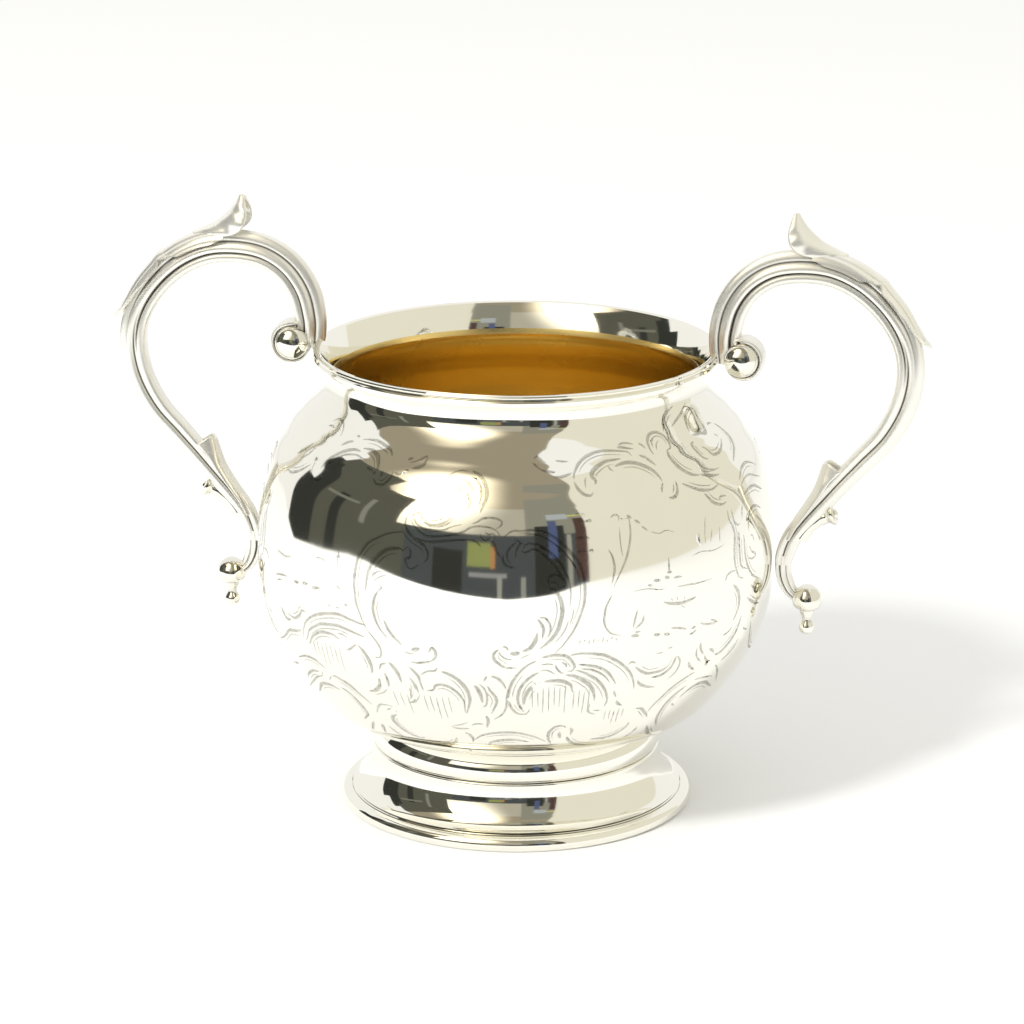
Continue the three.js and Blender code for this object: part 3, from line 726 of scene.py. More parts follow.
WAVES = [
    (BOLD, [(14.1, -11), (12, -12.2), (10.3, -13.9), (8.8, -16.3), (8, -18.7), (7.8, -20.8), (8.3, -23.2),
            (9.6, -25.2), (10.9, -25.7), (12.2, -25.5), (12.8, -24.1)]),
    (BOLD, [(14.6, -13.9), (13.1, -14.8), (11.4, -16.5), (10.3, -18.7), (10, -21), (10.5, -23.4),
            (11.6, -25)]),
    (SWELL, [(15, -16.5), (13.5, -17.4), (12.2, -18.9), (11.6, -20.8), (11.5, -22.6)]),
    (SWELL, [(15.9, -16.3), (18, -16.1), (19.8, -16.3), (21.3, -17), (22.1, -17.8), (22.6, -19.6)]),
    (BOLD, [(15.3, -10.3), (16.3, -10.1), (18, -9.8), (20, -10), (20.8, -10.3), (21.9, -11.4), (22.6, -12.9),
            (21.9, -13.9), (20.8, -13.8)]),
    (BOLD, [(21.5, -10.1), (23.9, -9.8), (27.1, -10.2), (29.5, -10.8), (32, -12.2), (34.5, -14.2),
            (36.3, -16.5),
            (37.4, -18.9), (37.8, -20.8)]),
    (BOLD, [(23.4, -12.4), (25.6, -12.8), (28, -13.5), (30.2, -14.9), (31.7, -16.7), (32.8, -18.5)]),
    (LINE, [(24, -13.5), (26.2, -13.9), (28, -14.7), (29.8, -16), (31.2, -17.8)]),
    (BOLD, [(22.8, -13.7), (24.5, -14.4), (26.2, -15.4), (28.3, -17), (29.8, -18.9), (30.8, -20.8),
            (31.4, -22.9),
            (31.1, -24.8)]),
    (SWELL, [(20.6, -14.8), (22.8, -15.3), (24.9, -16.6), (26.8, -18.4), (27.7, -20.4), (28.2, -22.6)]),
    (LINE, [(18.3, -12.2), (18.7, -13.3), (19.6, -14.2), (20.4, -14.3)]),
    (LINE, [(19.6, -11.6), (20.6, -12.2), (20.8, -13.1)]),
    (FINE, [(15, -12.1), (16.75, -11.9), (18, -12.2)]),
    (FINE, [(14.8, -13.6), (16.3, -13.4), (17.4, -13.9), (18.5, -14.6)]),
    (LINE, [(27.2, -23.4), (27, -25), (27.6, -26.4), (29.4, -27.1)]),
    (FINE, [(28.3, -25.7), (30.5, -26)]),
    (BOLD, [(34, -23.4), (34.5, -24.5), (35.9, -25.3)]),
    (LINE, [(32.6, -20.2), (33, -21.3), (33.6, -22.3)]),
    (LINE, [(35.2, -13.8), (36.2, -13.2), (37.1, -13.8)]),
    (BOLD, [(37.1, -14.6), (38.5, -15.8), (40.3, -16.8), (42.2, -17), (44, -16.8), (45.4, -16.2)]),
    (BOLD, [(41.8, -18.2), (44, -18.2), (45.8, -17.5), (47.1, -16.3), (47.8, -14.6), (47.8, -14)]),
    (LINE, [(48.1, -13.9), (48.9, -14.6), (49.4, -15.8), (49.1, -17.7), (48, -18.9), (46.5, -19.8)]),
    (BOLD, [(38.2, -18.3), (39.1, -19.5), (41.2, -20.6), (43.7, -21.2)]),
    (BOLD, [(4, -14.9), (5.3, -15.2), (6.6, -16.5), (7.4, -18.3)]),
    (LINE, [(3.2, -14.8), (2.4, -16.3)]),
    (BOLD, [(3.2, -17.4), (3.8, -18.7), (4.9, -20.4), (5.1, -22.1), (4.5, -23.9), (3.7, -25.8)]),
    (SWELL, [(0.2, -17.4), (1, -18.5), (1.6, -20.4), (1.8, -22.4)]),
    (LINE, [(1.2, -17), (2.3, -18), (3, -20), (2.8, -22.4), (2.3, -23.4), (1.7, -23.4)]),
    (LINE, [(7.4, -19.8), (7.3, -23.4), (6.2, -25.9), (4.2, -27.6)]),
    (SWELL, [(-7.2, -14.6), (-6.1, -14.7), (-4, -15.7), (-2.7, -17), (-2, -18), (-1.3, -19.6), (-1.1, -21.7),
             (-1.6, -23.9), (-2.4, -26)]),
    (BOLD, [(-11.3, -20), (-9.6, -19.6), (-8.9, -18.3), (-7.2, -17.9), (-5.5, -18.4), (-4, -19.6),
            (-2.9, -21.3),
            (-2.5, -22.8), (-2.7, -25.8)]),
    (BOLD, [(-14.8, -14.2), (-13.7, -15.2), (-12.7, -16.5), (-12.5, -18), (-12, -20.2)]),
    (SWELL, [(-27.7, -11.1), (-26, -12.7), (-24.9, -14.8), (-24.7, -16.5), (-25, -17.6)]),
    (SWELL, [(-23.2, -18.5), (-23.6, -20.6), (-24.9, -22.1), (-26, -22.8), (-27.5, -23.1)]),
    (FINE, [(-21.7, -21.3), (-23.4, -22.8), (-26, -23.9)]),
    (BOLD, [(-21.4, -16.75), (-21, -18.3), (-20.9, -19.6), (-21.2, -20.6)]),
    (SWELL, [(-19.9, -13.8), (-18.6, -15), (-17.7, -16.75), (-17.3, -18.7)]),
    (SWELL, [(-15, -17), (-14, -18.7), (-13.8, -20.6), (-14.1, -22.4), (-15.2, -23.9), (-16.9, -24.4)]),
    (LINE, [(-15.6, -19.8), (-15.4, -21.3), (-16, -23.4)]),
    (LINE, [(-20.6, -14.2), (-22, -14.8), (-22.6, -16.2)]),
    (BOLD, [(-25.2, -5.9), (-27, -5.8), (-30.1, -5.3), (-32.8, -4.9), (-35.6, -5.3), (-38.3, -6), (-41, -7),
            (-43, -8.2), (-44.7, -9.7), (-45.7, -11.4), (-46.6, -13.8)]),
    (BOLD, [(-25.6, -8.8), (-28, -8.4), (-30.8, -7.9), (-33.5, -7.6), (-36.2, -8), (-38.9, -8.5),
            (-41.3, -9.7),
            (-43.4, -11.1), (-44.4, -12.8), (-45.4, -14.1)]),
    (BOLD, [(-33, -10.9), (-34.9, -10.2), (-36.9, -10.1), (-38.9, -10.4), (-41, -11.3), (-42.7, -12.6),
            (-43.7, -14), (-44.4, -14.8)]),
    (FINE, [(-33.5, -9.6), (-32.2, -9.4), (-30.3, -10.1)]),
    (LINE, [(-31.2, -13.1), (-30, -12.4), (-28.1, -10.9)]),
    (BOLD, [(-44, -7), (-45.7, -7), (-46.7, -8.4), (-48.4, -9.4), (-50.1, -9.7), (-52.2, -9.2)]),
    (SWELL, [(-55.6, -8.7), (-54.2, -10.1), (-52.8, -10.9), (-50.8, -10.4)]),
    (BOLD, [(-46.8, -11.8), (-48.4, -12.6), (-50.5, -13.1), (-52.8, -13.6), (-55.2, -15.2), (-58.3, -17),
            (-62, -18.4)]),
    (BOLD, [(-40.3, -20.6), (-41.7, -19.4), (-43.7, -18.7), (-46.1, -18.5), (-48.4, -18.9), (-50.5, -19.7),
            (-52.8, -20.6)]),
    (SWELL, [(-39.2, -21.7), (-37.3, -21.6), (-35.2, -22.3), (-33.3, -23.1), (-32, -24.4), (-30.4, -25.9),
             (-28.7, -27.8)]),
    (BOLD, [(-44, -22), (-45.9, -22.3), (-48.3, -23.1), (-50.1, -24.1), (-52, -25.3), (-54.1, -26.9)]),
    (SWELL, [(-38.4, -25.9), (-40, -25.5), (-42.1, -25.2), (-44.3, -25.6), (-46.4, -26.3), (-48.3, -27.7),
             (-50.1, -29.2), (-52, -30.5)]),
    (SWELL, [(-37.6, -24.8), (-36, -25.3), (-34.4, -26.5), (-33.3, -28.3), (-32.5, -30.4), (-32.6, -32),
             (-33.9, -33.3), (-36, -34.9)]),
    (FINE, [(-39.7, -21.9), (-40.3, -22.9), (-41.6, -23.7)]),
    (LINE, [(-42.7, -21.6), (-44, -23.2), (-46.7, -24.3), (-49.3, -25.9), (-52, -27.5), (-56, -29.6),
            (-60, -31.7)]),
    (BOLD, [(-54.7, -22.9), (-56.8, -23.5), (-60, -24.4)]),
]
WAVES += fountain(13.2, 20.8, 7, -17.6, -24.5) + fountain(22.9, 26.6, 4, -19.2, -25.5)
WAVES += fountain(-12.2, -6.2, 5, -21.2, -27.5) + fountain(-20.2, -16.6, 3, -21.5, -27)
WAVES += fountain(-42.5, -33.5, 7, -12.8, -18) + fountain(31.8, 36.6, 5, -26.2, -30.4)

# %% Lowest border above the foot
BORDER = [
    (LINE, [(-28.4, -30.4), (-27.2, -28.4), (-25.8, -27), (-23.9, -26.7), (-21.9, -26.8)]),
    (LINE, [(-22.8, -27.5), (-24.4, -28.5)]),
    (SWELL, [(-21.5, -28.1), (-22.5, -29.7), (-23.6, -30.6), (-24, -32), (-23.6, -33.4), (-22.2, -35.4),
             (-20.2, -36.8), (-18, -37.4), (-16.4, -36.9)]),
    (SWELL, [(-15.2, -39.6), (-12.4, -39.3), (-9.6, -38.7), (-7.9, -37.8), (-7.1, -36.8), (-6.6, -35.1)]),
    (BOLD, [(-3.9, -32.9), (-2.6, -33.7), (-2, -35.1), (-2.3, -36.8)]),
    (BOLD, [(-1.5, -35.6), (0, -34.1), (1.7, -33.2), (4.2, -32.5), (7, -32.2), (9.8, -32.3), (12, -33),
            (14.3, -33.9), (16.2, -35.1), (17.6, -36.1)]),
    (SWELL, [(2.1, -37.9), (2.8, -36.5), (4.5, -35.7), (6.2, -35.3), (8.4, -35.1), (10.6, -35.4),
             (13.2, -36.1)]),
    (BOLD, [(19.3, -37.4), (18.6, -36), (18.1, -34), (18.2, -32.3), (19.3, -30.7), (20.7, -30.2),
            (21.8, -30.4),
            (22.4, -31)]),
    (BOLD, [(20.9, -32.3), (21.1, -34), (21.6, -35)]),
    (BOLD, [(23.5, -31.2), (24.2, -32.3), (24.1, -34)]),
    (SWELL, [(23.2, -34.6), (24.1, -36.2), (26, -37.9), (28, -38.8), (30.3, -39.3), (33.1, -39.5)]),
    (SWELL, [(30.3, -36.8), (32.5, -36.8), (34.7, -36.9), (37, -36.2), (38.9, -34.8), (40.1, -33.2),
             (40.1, -31.8)]),
    (BOLD, [(2.4, -26.4), (2.8, -28.1), (2.2, -30.6)]),
    (LINE, [(-2.3, -31.2), (-4, -31.5), (-6, -31.5), (-7.1, -31)]),
    (FINE, [(-6.8, -30.8), (-4.5, -30.1), (-2.3, -29)]),
    (LINE, [(-1.7, -30.1), (-0.2, -29.3), (1.6, -29.5)]),
    (SWELL, [(-29.3, -34.9), (-29.9, -36.5), (-30.9, -38.7)]),
    (BOLD, [(-32.3, -34.6), (-34.4, -37.1), (-36.5, -39.4)]),
    (BOLD, [(-27.2, -34.9), (-25.6, -37.3), (-23.5, -39)]),
    (BOLD, [(40.2, -27.3), (41.8, -27.4), (43.3, -28.8), (44.6, -30.1), (45.6, -31.4)]),
    (BOLD, [(44.1, -34.5), (43.6, -36.6), (41.7, -38.4)]),
    (LINE, [(-4.6, -40), (-3.9, -41.2), (-4, -42)]),
]

# %% Little lake views: a tree, a spire, a boat, reeds and rocks
VIEWS = [
    (LINE, [(36.1, 19.7), (36.1, 16.3), (35.7, 13.9), (34.8, 11.2), (33.8, 9.1), (32.3, 6.6), (31.2, 4.5)]),
    (HAIR, [(33.5, 17.3), (33.4, 15.2), (33.5, 12.6), (33.8, 11)]),
    (LINE, [(30.9, 3), (29.6, 0.8), (29.1, -1.1), (29.1, -3.5), (30.5, -5.7), (33, -6.5)]),
    (LINE, [(30.4, 12.8), (31.2, 11.4), (31.6, 8.8), (31.2, 6.6), (30.8, 5.4)]),
    (FINE, [(31.6, 19.6), (32.4, 20.2), (33.2, 20)]),
    (FINE, [(33, 20.4), (33.6, 19.6), (33.4, 18.8)]),
    (LINE, [(35.6, 19.8), (36.8, 19)]),
    (LINE, [(37.4, 18.6), (38.8, 17.6)]),
    (FINE, [(34, 19.4), (34.6, 18.8)]),
    (FINE, [(39, 17), (40.6, 15.8)]),
    (HAIR, [(41, 15.6), (43.4, 14.8), (45.4, 15.2), (47.6, 14.4)]),
    (LINE, [(45.2, 9.3), (45.2, 5.6)]),
    (LINE, [(44.6, 6), (45.9, 6)]),
    (BOLD, [(43.9, 5.1), (45.2, 4.8)]),
    (BOLD, [(40.9, 4.8), (42.8, 4.6)]),
    (LINE, [(39.4, 3.9), (40.7, 3.8)]),
    (LINE, [(46.2, 4.6), (48.6, 4.5)]),
    (HAIR, [(35.7, 3.1), (39.4, 3.2), (42.2, 2.6), (44, 2.5)]),
    (FINE, [(47.1, 2.4), (50.5, 2.3), (53, 2.1), (58, 2.2)]),
    (BOLD, [(43.5, -0.4), (45.5, -1.1), (48.6, -1.5), (51.1, -1.2), (52.7, -0.9)]),
    (HAIR, [(45.8, -0.6), (45.6, 0.2)]),
    (HAIR, [(47.4, -0.8), (47, 0.2)]),
    (HAIR, [(49.4, -0.9), (49, -0.1)]),
    (HAIR, [(48.3, -2), (49.5, -2.9)]),
    (LINE, [(36.9, -1.1), (36.3, -3.2), (35.8, -5.3)]),
    (LINE, [(38.5, -2.6), (38, -4.2), (36.2, -5.5)]),
    (BOLD, [(35.4, -6.9), (37.5, -7.2)]),
    (LINE, [(36.3, -6.3), (37.7, -6.2)]),
    (BOLD, [(41.1, -7.5), (42.9, -7.8)]),
    (BOLD, [(43.8, -7.9), (45.5, -8.2)]),
    (LINE, [(45.5, -6.7), (48, -7.2), (50.2, -7.9)]),
    (FINE, [(42.2, -12.3), (44, -12.2)]),
    (FINE, [(45.2, -11.4), (46.6, -11.5)]),
    (LINE, [(51.1, -9.4), (52.3, -9.1), (53.3, -8.7)]),
    (LINE, [(51.6, -8.1), (53, -7.8)]),
    (LINE, [(54.2, -7.3), (56, -8), (58.1, -8.3), (60.6, -8.3)]),
    (LINE, [(57.6, -7.2), (59.8, -8.2)]),
    (HAIR, [(57.6, 16.1), (56.8, 13.3), (56.4, 10.2)]),
    (HAIR, [(54.8, 13), (54.5, 10.5)]),
    (HAIR, [(59.2, 13), (58.2, 10.2)]),
    (HAIR, [(61.9, 13), (61.3, 9.6)]),
    (HAIR, [(52, 8.4), (55, 8.8), (58.6, 8.3), (63, 8.7)]),
    (LINE, [(-57, 4.2), (-54, 3.9), (-52, 3.9), (-50, 4.4)]),
    (BOLD, [(-48.4, -0.9), (-46.3, -0.7)]),
    (BOLD, [(-45, -0.4), (-42.8, -0.1)]),
    (BOLD, [(-41.6, -0.7), (-40.2, -0.4), (-38.6, -0.1)]),
    (LINE, [(-57.6, -1.6), (-54.5, -0.9), (-51.4, -0.5)]),
    (FINE, [(-57, -2.7), (-54, -2)]),
    (FINE, [(-33.4, 1.6), (-32, 0.9)]),
    (HAIR, [(-33.4, 11), (-33.3, 8), (-33.5, 4.6)]),
    (FINE, [(-34.2, 8), (-32.6, 8)]),
    (FINE, [(-49, 10.6), (-48.4, 8.6)]),
    (HAIR, [(-47.6, 9.8), (-45, 9.9), (-42.6, 9.4)]),
    (HAIR, [(-36.4, -3.4), (-35, -3.5)]),
    (HAIR, [(-33.8, -3.3), (-32.4, -3.5)]),
    (FINE, [(-31.2, -2.2), (-29.8, -2.4)]),
    (HAIR, [(-41, 6.4), (-38.6, 6.6), (-36.4, 6.3)]),
]
for index in range(9):
    VIEWS.append((HAIR, [(23.4 + 1.05 * index, -7.5 + 0.3 * math.sin(2 * index)),
                         (23.7 + 1.05 * index, -6.7 + 0.4 * math.sin(3 * index))]))
for index in range(14):
    leaf_turn = 2.4 * index
    VIEWS.append((FINE, [(24.6 + 1.5 * math.sin(leaf_turn), 16.6 + 4.2 * math.cos(0.9 * index)),
                         (25.2 + 1.5 * math.sin(leaf_turn), 17 + 4.2 * math.cos(0.9 * index)),
                         (25.5 + 1.5 * math.sin(leaf_turn), 16.4 + 4.2 * math.cos(0.9 * index))]))
DRAWING = (SHIELD, CREST, GARLANDS, SIDE_FRAME, WAVES, BORDER, VIEWS)
print("cuts listed for one side:", sum(len(part) for part in DRAWING))

# %% [markdown]
# ## Cutting the pattern
#
# A graver pushes a V-shaped furrow that starts thin, swells and runs out. So each cut
# becomes a long three-sided wedge that follows the wall: two edges just above the silver and
# one below it. One Boolean takes all the wedges out of the wall. The fresh furrows keep
# their own duller, darker metal, a darkening that is painted shade as well as oxide, and the
# wall between them keeps the normals of the turned shape, so that it still mirrors like
# untouched silver.

# %% From the sheet to the wall
BELLY_RADIUS, BELLY_HEIGHT = 59, 62


def measure_wall(outline):
    """The height along the wall of every outline point, 0 at the belly's widest line."""
    lengths = [0.0]
    for start, end in zip(outline, outline[1:]):
        lengths.append(lengths[-1] + math.dist(start, end))
    widest = min(range(len(outline)), key=lambda index: abs(outline[index][1] - BELLY_HEIGHT))
    return [length - lengths[widest] for length in lengths]


wall_lengths = measure_wall(bowl_outside)


def on_wall(around, up):
    """The point of the wall, and the direction out of it, for a point of the sheet."""
    index = min(max(bisect.bisect_right(wall_lengths, up) - 1, 0), len(bowl_outside) - 2)
    share = (up - wall_lengths[index]) / (wall_lengths[index + 1] - wall_lengths[index])
    start, end = Vector(bowl_outside[index]), Vector(bowl_outside[index + 1])
    radius, height = start.lerp(end, share)
    along = (end - start).normalized()
    turn = around / BELLY_RADIUS
    place = Vector((radius * math.sin(turn), -radius * math.cos(turn), height)) * MM
    out = Vector((along.y * math.sin(turn), -along.y * math.cos(turn), -along.x))
    return place, out


# %% One wedge for each cut
CUT_STEP = 0.75
LIFT = 0.06
DEPTH_SHARE = 0.32
THINNEST = 0.16


def add_wedge(points, width, material, tray):
    """A closed wedge along one cut: pointed at both ends and widest just past the middle."""
    length = sum(math.dist(start, end) for start, end in zip(points, points[1:]))
    steps = max(4, int(length / CUT_STEP))
    per_span = max(2, math.ceil(steps / (len(points) - 1)))
    line = smooth_line(points, per_span)
    places = [on_wall(*point) for point in line]
    corners, faces = [], []
    last = len(places) - 1
    for index, (place, out) in enumerate(places):
        along = (places[min(index + 1, last)][0] - places[max(index - 1, 0)][0]).normalized()
        side = along.cross(out).normalized()
        swell = THINNEST + (1 - THINNEST) * math.sin(math.pi * (index / last) ** 0.85) ** 0.7
        half = 0.5 * width * swell * MM
        depth = 2 * half * DEPTH_SHARE
        lift = LIFT * MM
        half_lifted = half * (depth + lift) / depth
        corners += [place + side * half_lifted + out * lift, place - side * half_lifted + out * lift,
                    place - out * depth]
    for index in range(last):
        for corner in range(3):
            start, end = 3 * index + corner, 3 * index + (corner + 1) % 3
            faces.append((start, end, end + 3, start + 3))
    faces += [(2, 1, 0), (3 * last, 3 * last + 1, 3 * last + 2)]
    mesh = bpy.data.meshes.new("wedge")
    mesh.from_pydata(corners, [], faces)
    mesh.materials.append(material)
    wedge = bpy.data.objects.new("wedge", mesh)
    tray.objects.link(wedge)


# %% Cut both sides of the bowl
HALF_ROUND = math.pi * BELLY_RADIUS


def engrave(target, parts, material):
    """Takes every cut of the drawing out of the wall, on the front and on the back."""
    tray = bpy.data.collections.new("wedges")
    bpy.context.scene.collection.children.link(tray)
    for shift in (0, HALF_ROUND):
        for part in parts:
            for width, points in part:
                shifted = [(around + shift, up) for around, up in points]
                add_wedge(shifted, width, material, tray)
    deselect_all()
    bpy.context.view_layer.objects.active = target
    target.select_set(True)
    flat = target.modifiers.new("flat_faces", "TRIANGULATE")
    bpy.ops.object.modifier_apply(modifier=flat.name)
    cut = target.modifiers.new("engraving", "BOOLEAN")
    cut.operation = "DIFFERENCE"
    cut.solver = "MANIFOLD"
    cut.operand_type = "COLLECTION"
    cut.collection = tray
    cut.material_mode = "TRANSFER"
    bpy.ops.object.modifier_apply(modifier=cut.name)
    tidy = target.modifiers.new("clean_faces", "TRIANGULATE")
    tidy.ngon_method = "CLIP"
    tidy.min_vertices = 5
    bpy.ops.object.modifier_apply(modifier=tidy.name)
    for wedge in tray.objects[:]:
        mesh = wedge.data
        bpy.data.objects.remove(wedge)
        bpy.data.meshes.remove(mesh)
    bpy.data.collections.remove(tray)


# %% [markdown]
# ## The wall's own shine
#
# A mirror shows every flat facet and every sliver that the Boolean left. Shade Smooth
# averages over those slivers and makes ripples. The turned shape is known exactly, so each
# face that still lies on it gets its normals straight from the outline. Deep in a furrow
# the polishing cloth never reaches: an attribute called hollow marks how deep a point lies,
# and with it the furrow's colour turns near black, grey oxide with painted shade on top.

# %% Normals and hollows of the wall
DARK_DEPTH = 0.00008
SAME_WALL = 0.00003
SAME_WAY = 0.9
FACET_ANGLE = math.radians(28)


def measure_outline(outline):
    """An outline's heights in metres, and at each point the direction out to the +X side."""
    heights = [point[1] * MM for point in outline]
    slopes = []
    for index in range(len(outline)):
        before = outline[max(index - 1, 0)]
        after = outline[min(index + 1, len(outline) - 1)]
        slopes.append(Vector((after[1] - before[1], -(after[0] - before[0]))).normalized())
    return outline, heights, slopes


def outline_at(measured, height):
    """Radius in metres and direction out of a rising outline, at one height in metres."""
    outline, heights, slopes = measured
    index = min(max(bisect.bisect_right(heights, height) - 1, 0), len(heights) - 2)
    share = min(max((height - heights[index]) / (heights[index + 1] - heights[index]), 0), 1)
    radius = (outline[index][0] * (1 - share) + outline[index + 1][0] * share) * MM
    return radius, slopes[index].lerp(slopes[index + 1], share).normalized()


def face_normals(mesh, face, measured, side):
    """The turned shape's normals at a face's corners, or None where the face leaves it."""
    corner_normals = []
    for vertex in face.vertices:
        place = mesh.vertices[vertex].co
        radius = math.hypot(place.x, place.y)
        wall_radius, slope = outline_at(measured, place.z)
        if radius < MM or abs(radius - wall_radius) > SAME_WALL:
            return None
        slope = slope * side
        corner_normals.append((slope.x * place.x / radius, slope.x * place.y / radius, slope.y))
    return corner_normals if face.normal.dot(Vector(corner_normals[0])) > SAME_WAY else None


def keep_wall_shine(target):
    """Gives the wall between the cuts, and the neck's inside, the turned shape's normals, and marks how deep
    each point lies, for the furrows' oxide and painted shade.
    """
    mesh = target.data
    bpy.ops.object.shade_smooth_by_angle(angle=FACET_ANGLE)
    outside, neck = measure_outline(bowl_outside), measure_outline(neck_inside)
    normals = []
    for face in mesh.polygons:
        found = None
        if face.material_index == 0:
            found = face_normals(mesh, face, outside, 1)
            if found is None and face.center.z > neck_inside[0][1] * MM:
                found = face_normals(mesh, face, neck, -1)
        normals += found or [(0, 0, 0)] * len(face.vertices)
    mesh.normals_split_custom_set(normals)
    # Hollow is 0 on the wall and 1 at DARK_DEPTH below it: it turns the furrows near black, grey oxide with
    # painted shade on top.
    depths = mesh.attributes.new("hollow", "FLOAT", "POINT")
    for vertex in mesh.vertices:
        wall_radius = outline_at(outside, vertex.co.z)[0]
        depth = wall_radius - math.hypot(vertex.co.x, vertex.co.y)
        depths.data[vertex.index].value = min(max(depth / DARK_DEPTH, 0), 1)


# %% [markdown]
# ## Echo lines
#
# Beside a bold cut the engraver sets a hairline, which makes the scroll look raised. They
# could be drawn by hand too, but each one follows its cut, so they are worked out from it.

# %% Hairlines beside the bold cuts
SHORTEST_WITH_ECHO = 7
ECHO_GAP = 0.62
ECHO_SPAN = (0.16, 0.86)


def echo_lines(strokes):
    """A hairline beside each bold stroke, on the hollow side of its curve."""
    echoes = []
    for width, points in strokes:
        line = smooth_line(points, 4)
        length = sum(math.dist(start, end) for start, end in zip(line, line[1:]))
        if width < BOLD or length < SHORTEST_WITH_ECHO:
            continue
        (x0, y0), (xm, ym), (x1, y1) = line[0], line[len(line) // 2], line[-1]
        bend = (xm - x0) * (y1 - y0) - (ym - y0) * (x1 - x0)
        shift = math.copysign(0.5 * width + ECHO_GAP, bend)
        kept = range(round(ECHO_SPAN[0] * len(line)), round(ECHO_SPAN[1] * len(line)), 2)
        echo = []
        for index in kept:
            before = Vector(line[max(index - 1, 0)])
            after = Vector(line[min(index + 1, len(line) - 1)])
            along = (after - before).normalized()
            echo.append((line[index][0] - along.y * shift, line[index][1] + along.x * shift))
        if len(echo) > 2:
            echoes.append((HAIR, echo))
    return echoes


# %% Engrave the bowl
mirrored_frame = [(width, [(-around, up) for around, up in points])
                  for width, points in SIDE_FRAME if min(around for around, _ in points) > 60]
bowl.data.materials.clear()
bowl.data.materials.append(sheet_silver)
scrollwork = (SHIELD, CREST, GARLANDS, SIDE_FRAME, mirrored_frame, WAVES, BORDER)
echoes = [line for part in scrollwork for line in echo_lines(part)]
engrave(bowl, (*scrollwork, VIEWS, echoes), engraved_silver)
keep_wall_shine(bowl)
furrow_faces = sum(1 for face in bowl.data.polygons if face.material_index == 1)
print("bowl:", len(bowl.data.polygons), "faces,", furrow_faces, "of them in the furrows")

# %% [markdown]
# ## Gilding, lip wire and foot
#
# Gold keeps damp sugar off the silver. A real gold wash is far thinner than a hair; here it
# is a thin shell just inside the wall, ending at the neck. Wires and foot are turned pieces
# like the bowl: a two-reed wire on the lip, a half-round collar, a spreading foot that is
# open underneath, and the wire that it stands on.

# %% Gilding
GILT_TOP = 100.9
GILT_BACK, GILT_FRONT = 0.03, 0.09
gilt_back = [point for point in offset_line(bowl_inside, GILT_BACK) if point[1] < GILT_TOP]
gilt_front = [point for point in offset_line(bowl_inside, GILT_FRONT) if point[1] < GILT_TOP][::-1]
gilding = spun("gilding", gilt_back + gilt_front, closed=False)
dress(gilding, gold_wash, "gilding", "gilt_lining")

# %% Lip wire
LIP_WIRE = [
    (44.6, 103.9), (45.0, 103.75), (45.5, 103.95), (45.75, 104.4), (45.75, 104.9), (45.45, 105.3),
    (45.3, 105.45), (45.5, 105.6), (45.8, 105.85), (45.9, 106.15), (45.75, 106.45), (45.4, 106.6),
    (44.9, 106.5), (44.6, 106.2),
]
lip_wire = spun("reeded_lip_wire", LIP_WIRE)
dress(lip_wire, sheet_silver, "silver_sheet", "lip_wire")

# %% Foot
COLLAR = [
    (29.8, 13.7), (32.2, 13.62), (32.75, 13.8), (33.05, 14.4), (33.2, 15.3), (33.15, 16.4), (32.85, 17.5),
    (32.3, 18.5), (31.7, 19.25), (31.2, 19.75), (29.8, 19.6),
]
collar = spun("foot_collar_ring", COLLAR)
dress(collar, sheet_silver, "silver_sheet", "foot_collar")

FOOT_OUTSIDE = [
    (32.6, 13.55), (33.0, 13.2), (33.05, 11.6), (33.5, 9.2), (34.7, 6.6), (36.4, 4.6), (37.9, 3.75),
]
foot_outside = smooth_line(FOOT_OUTSIDE, 6)
FOOT_WALL, FOOT_DROP = 1.0, 0.25
foot_inside = [(radius - FOOT_WALL, height - FOOT_DROP) for radius, height in foot_outside][::-1]
foot = spun("spread_foot", foot_outside + foot_inside)
dress(foot, sheet_silver, "silver_sheet", "foot_ring")

FOOT_WIRE = [
    (36.7, 0), (39.6, 0), (40.0, 0.15), (40.35, 0.6), (40.5, 1.3), (40.4, 2.0), (40.1, 2.55), (39.6, 2.95),
    (39.0, 3.2), (38.4, 3.3), (38.05, 3.25), (37.85, 3.05), (37.6, 3.3), (36.9, 3.2), (36.7, 2.6),
]
foot_wire = spun("foot_rim_wire", FOOT_WIRE)
dress(foot_wire, sheet_silver, "silver_sheet", "foot_wire")

# %% [markdown]
# ## A cast handle
#
# Each handle was cast in several pieces and soldered together: a fluted scroll, a leaf that
# sheathes its outer side, a hollow leaf for the thumb, a volute with a round button at the
# rim, and below a calyx, a bud, a tail and a turned drop. The right handle is modelled in
# the plane of X and Z. Points are (distance from the bowl's axis, height) in millimetres.
#
# A sweep of one section along a line makes the long pieces. The line comes first, then at
# each of its points a frame: along the line, out of the curl, and sideways.

# %% Helpers for swept pieces
def frames_along(line):
    """Point, direction out of the curl and direction along, for each point of a plane line."""
    frames = []
    for index, point in enumerate(line):
        along = along_line(line, index)
        frames.append((Vector(point), Vector((-along.y, along.x)), along))
    return frames


def value_at(rows, share):
    """Reads a value between the rows (share, value) with a soft step."""
    for (start, low), (end, high) in zip(rows, rows[1:]):
        if share <= end:
            step = (share - start) / (end - start)
            step = step * step * (3 - 2 * step)
            return low + (high - low) * step
    return rows[-1][1]


def round_ring(center, out, radius, steps):
    """A ring of points at right angles to the handle's plane, which it crosses along out."""
    ring = []
    for step in range(steps):
        turn = 2 * math.pi * step / steps
        x = center[0] + out[0] * radius * math.cos(turn)
        z = center[1] + out[1] * radius * math.cos(turn)
        ring.append((x, radius * math.sin(turn), z))
    return ring


